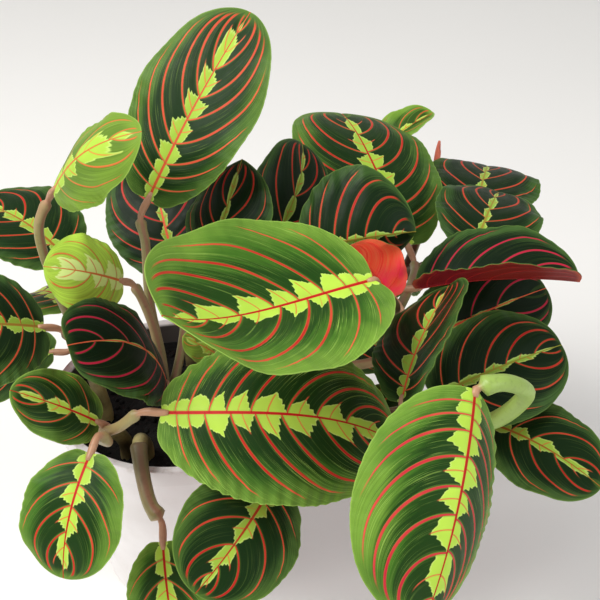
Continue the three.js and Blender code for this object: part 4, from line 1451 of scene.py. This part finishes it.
class PLANT_OT_make_pot(bpy.types.Operator):
    """Make the growing pot with its rounded rim and drain holes"""

    bl_idname = "prayer_plant.make_pot"
    bl_label = "Make the Pot"

    def execute(self, context):
        dress(pot_piece(), pot_finish(context.scene.plant_pot))
        return {"FINISHED"}


class PLANT_OT_fill_soil(bpy.types.Operator):
    """Fill the pot with clodded soil and loose crumbs"""

    bl_idname = "prayer_plant.fill_soil"
    bl_label = "Fill the Soil"

    def execute(self, context):
        look = context.scene.plant_pot
        material = soil_finish(look)
        dress(soil_piece(look), material)
        dress(crumb_piece(look), material)
        return {"FINISHED"}


class PLANT_OT_grow_shoots(bpy.types.Operator):
    """Grow the stems and the sheathed stalks of the blades"""

    bl_idname = "prayer_plant.grow_shoots"
    bl_label = "Grow the Shoots"

    def execute(self, context):
        look = context.scene.plant_shoot
        material = stalk_finish(look)
        for shoot, blades in grown_shoots():
            dress(shoot_piece(shoot, blades, look), material)
        return {"FINISHED"}


class PLANT_OT_grow_blades(bpy.types.Operator):
    """Grow the open blades with their ribs, lime band and red undersides"""

    bl_idname = "prayer_plant.grow_blades"
    bl_label = "Grow the Blades"

    def execute(self, context):
        look = context.scene.plant_blade
        upper, lower = upper_face(look), lower_face(look)
        for blade in grown_blades(rolled=False):
            dress(blade_piece(blade, look), upper, lower)
        return {"FINISHED"}


class PLANT_OT_roll_young_blade(bpy.types.Operator):
    """Make the young leaf that is still rolled up"""

    bl_idname = "prayer_plant.roll_young_blade"
    bl_label = "Roll the Young Blade"

    def execute(self, context):
        look = context.scene.plant_shoot
        material = rolled_finish(look)
        for blade in grown_blades(rolled=True):
            dress(rolled_piece(blade, look), material)
        return {"FINISHED"}


class PLANT_PT_sidebar(bpy.types.Panel):
    """The plant's operators and looks in the sidebar"""

    bl_idname = "PLANT_PT_sidebar"
    bl_label = "Prayer Plant"
    bl_space_type = "VIEW_3D"
    bl_region_type = "UI"
    bl_category = "Prayer Plant"

    def draw(self, context):
        for operator in OPERATORS:
            self.layout.operator(operator.bl_idname)
        for title, look in LOOKS.items():
            box = self.layout.box()
            box.label(text=look.__doc__)
            for key in look.__annotations__:
                box.prop(getattr(context.scene, title), key)


OPERATORS = (
    PLANT_OT_set_stage,
    PLANT_OT_make_pot,
    PLANT_OT_fill_soil,
    PLANT_OT_grow_shoots,
    PLANT_OT_grow_blades,
    PLANT_OT_roll_young_blade,
)
LOOKS = {
    "plant_blade": BladeLook,
    "plant_shoot": ShootLook,
    "plant_pot": PotLook,
    "plant_stage": StageLook,
}
CLASSES = (*LOOKS.values(), *OPERATORS, PLANT_PT_sidebar)


def register():
    """Adds the looks, the operators and the panel."""
    for part in CLASSES:
        bpy.utils.register_class(part)
    for title, look in LOOKS.items():
        setattr(bpy.types.Scene, title, PointerProperty(type=look))


def unregister():
    """Takes them away again."""
    for title in LOOKS:
        delattr(bpy.types.Scene, title)
    for part in reversed(CLASSES):
        bpy.utils.unregister_class(part)


def main():
    """Dresses the whole plant."""
    register()
    for operator in OPERATORS:
        group, action = operator.bl_idname.split(".")
        getattr(getattr(bpy.ops, group), action)()


if __name__ == "__main__":
    main()
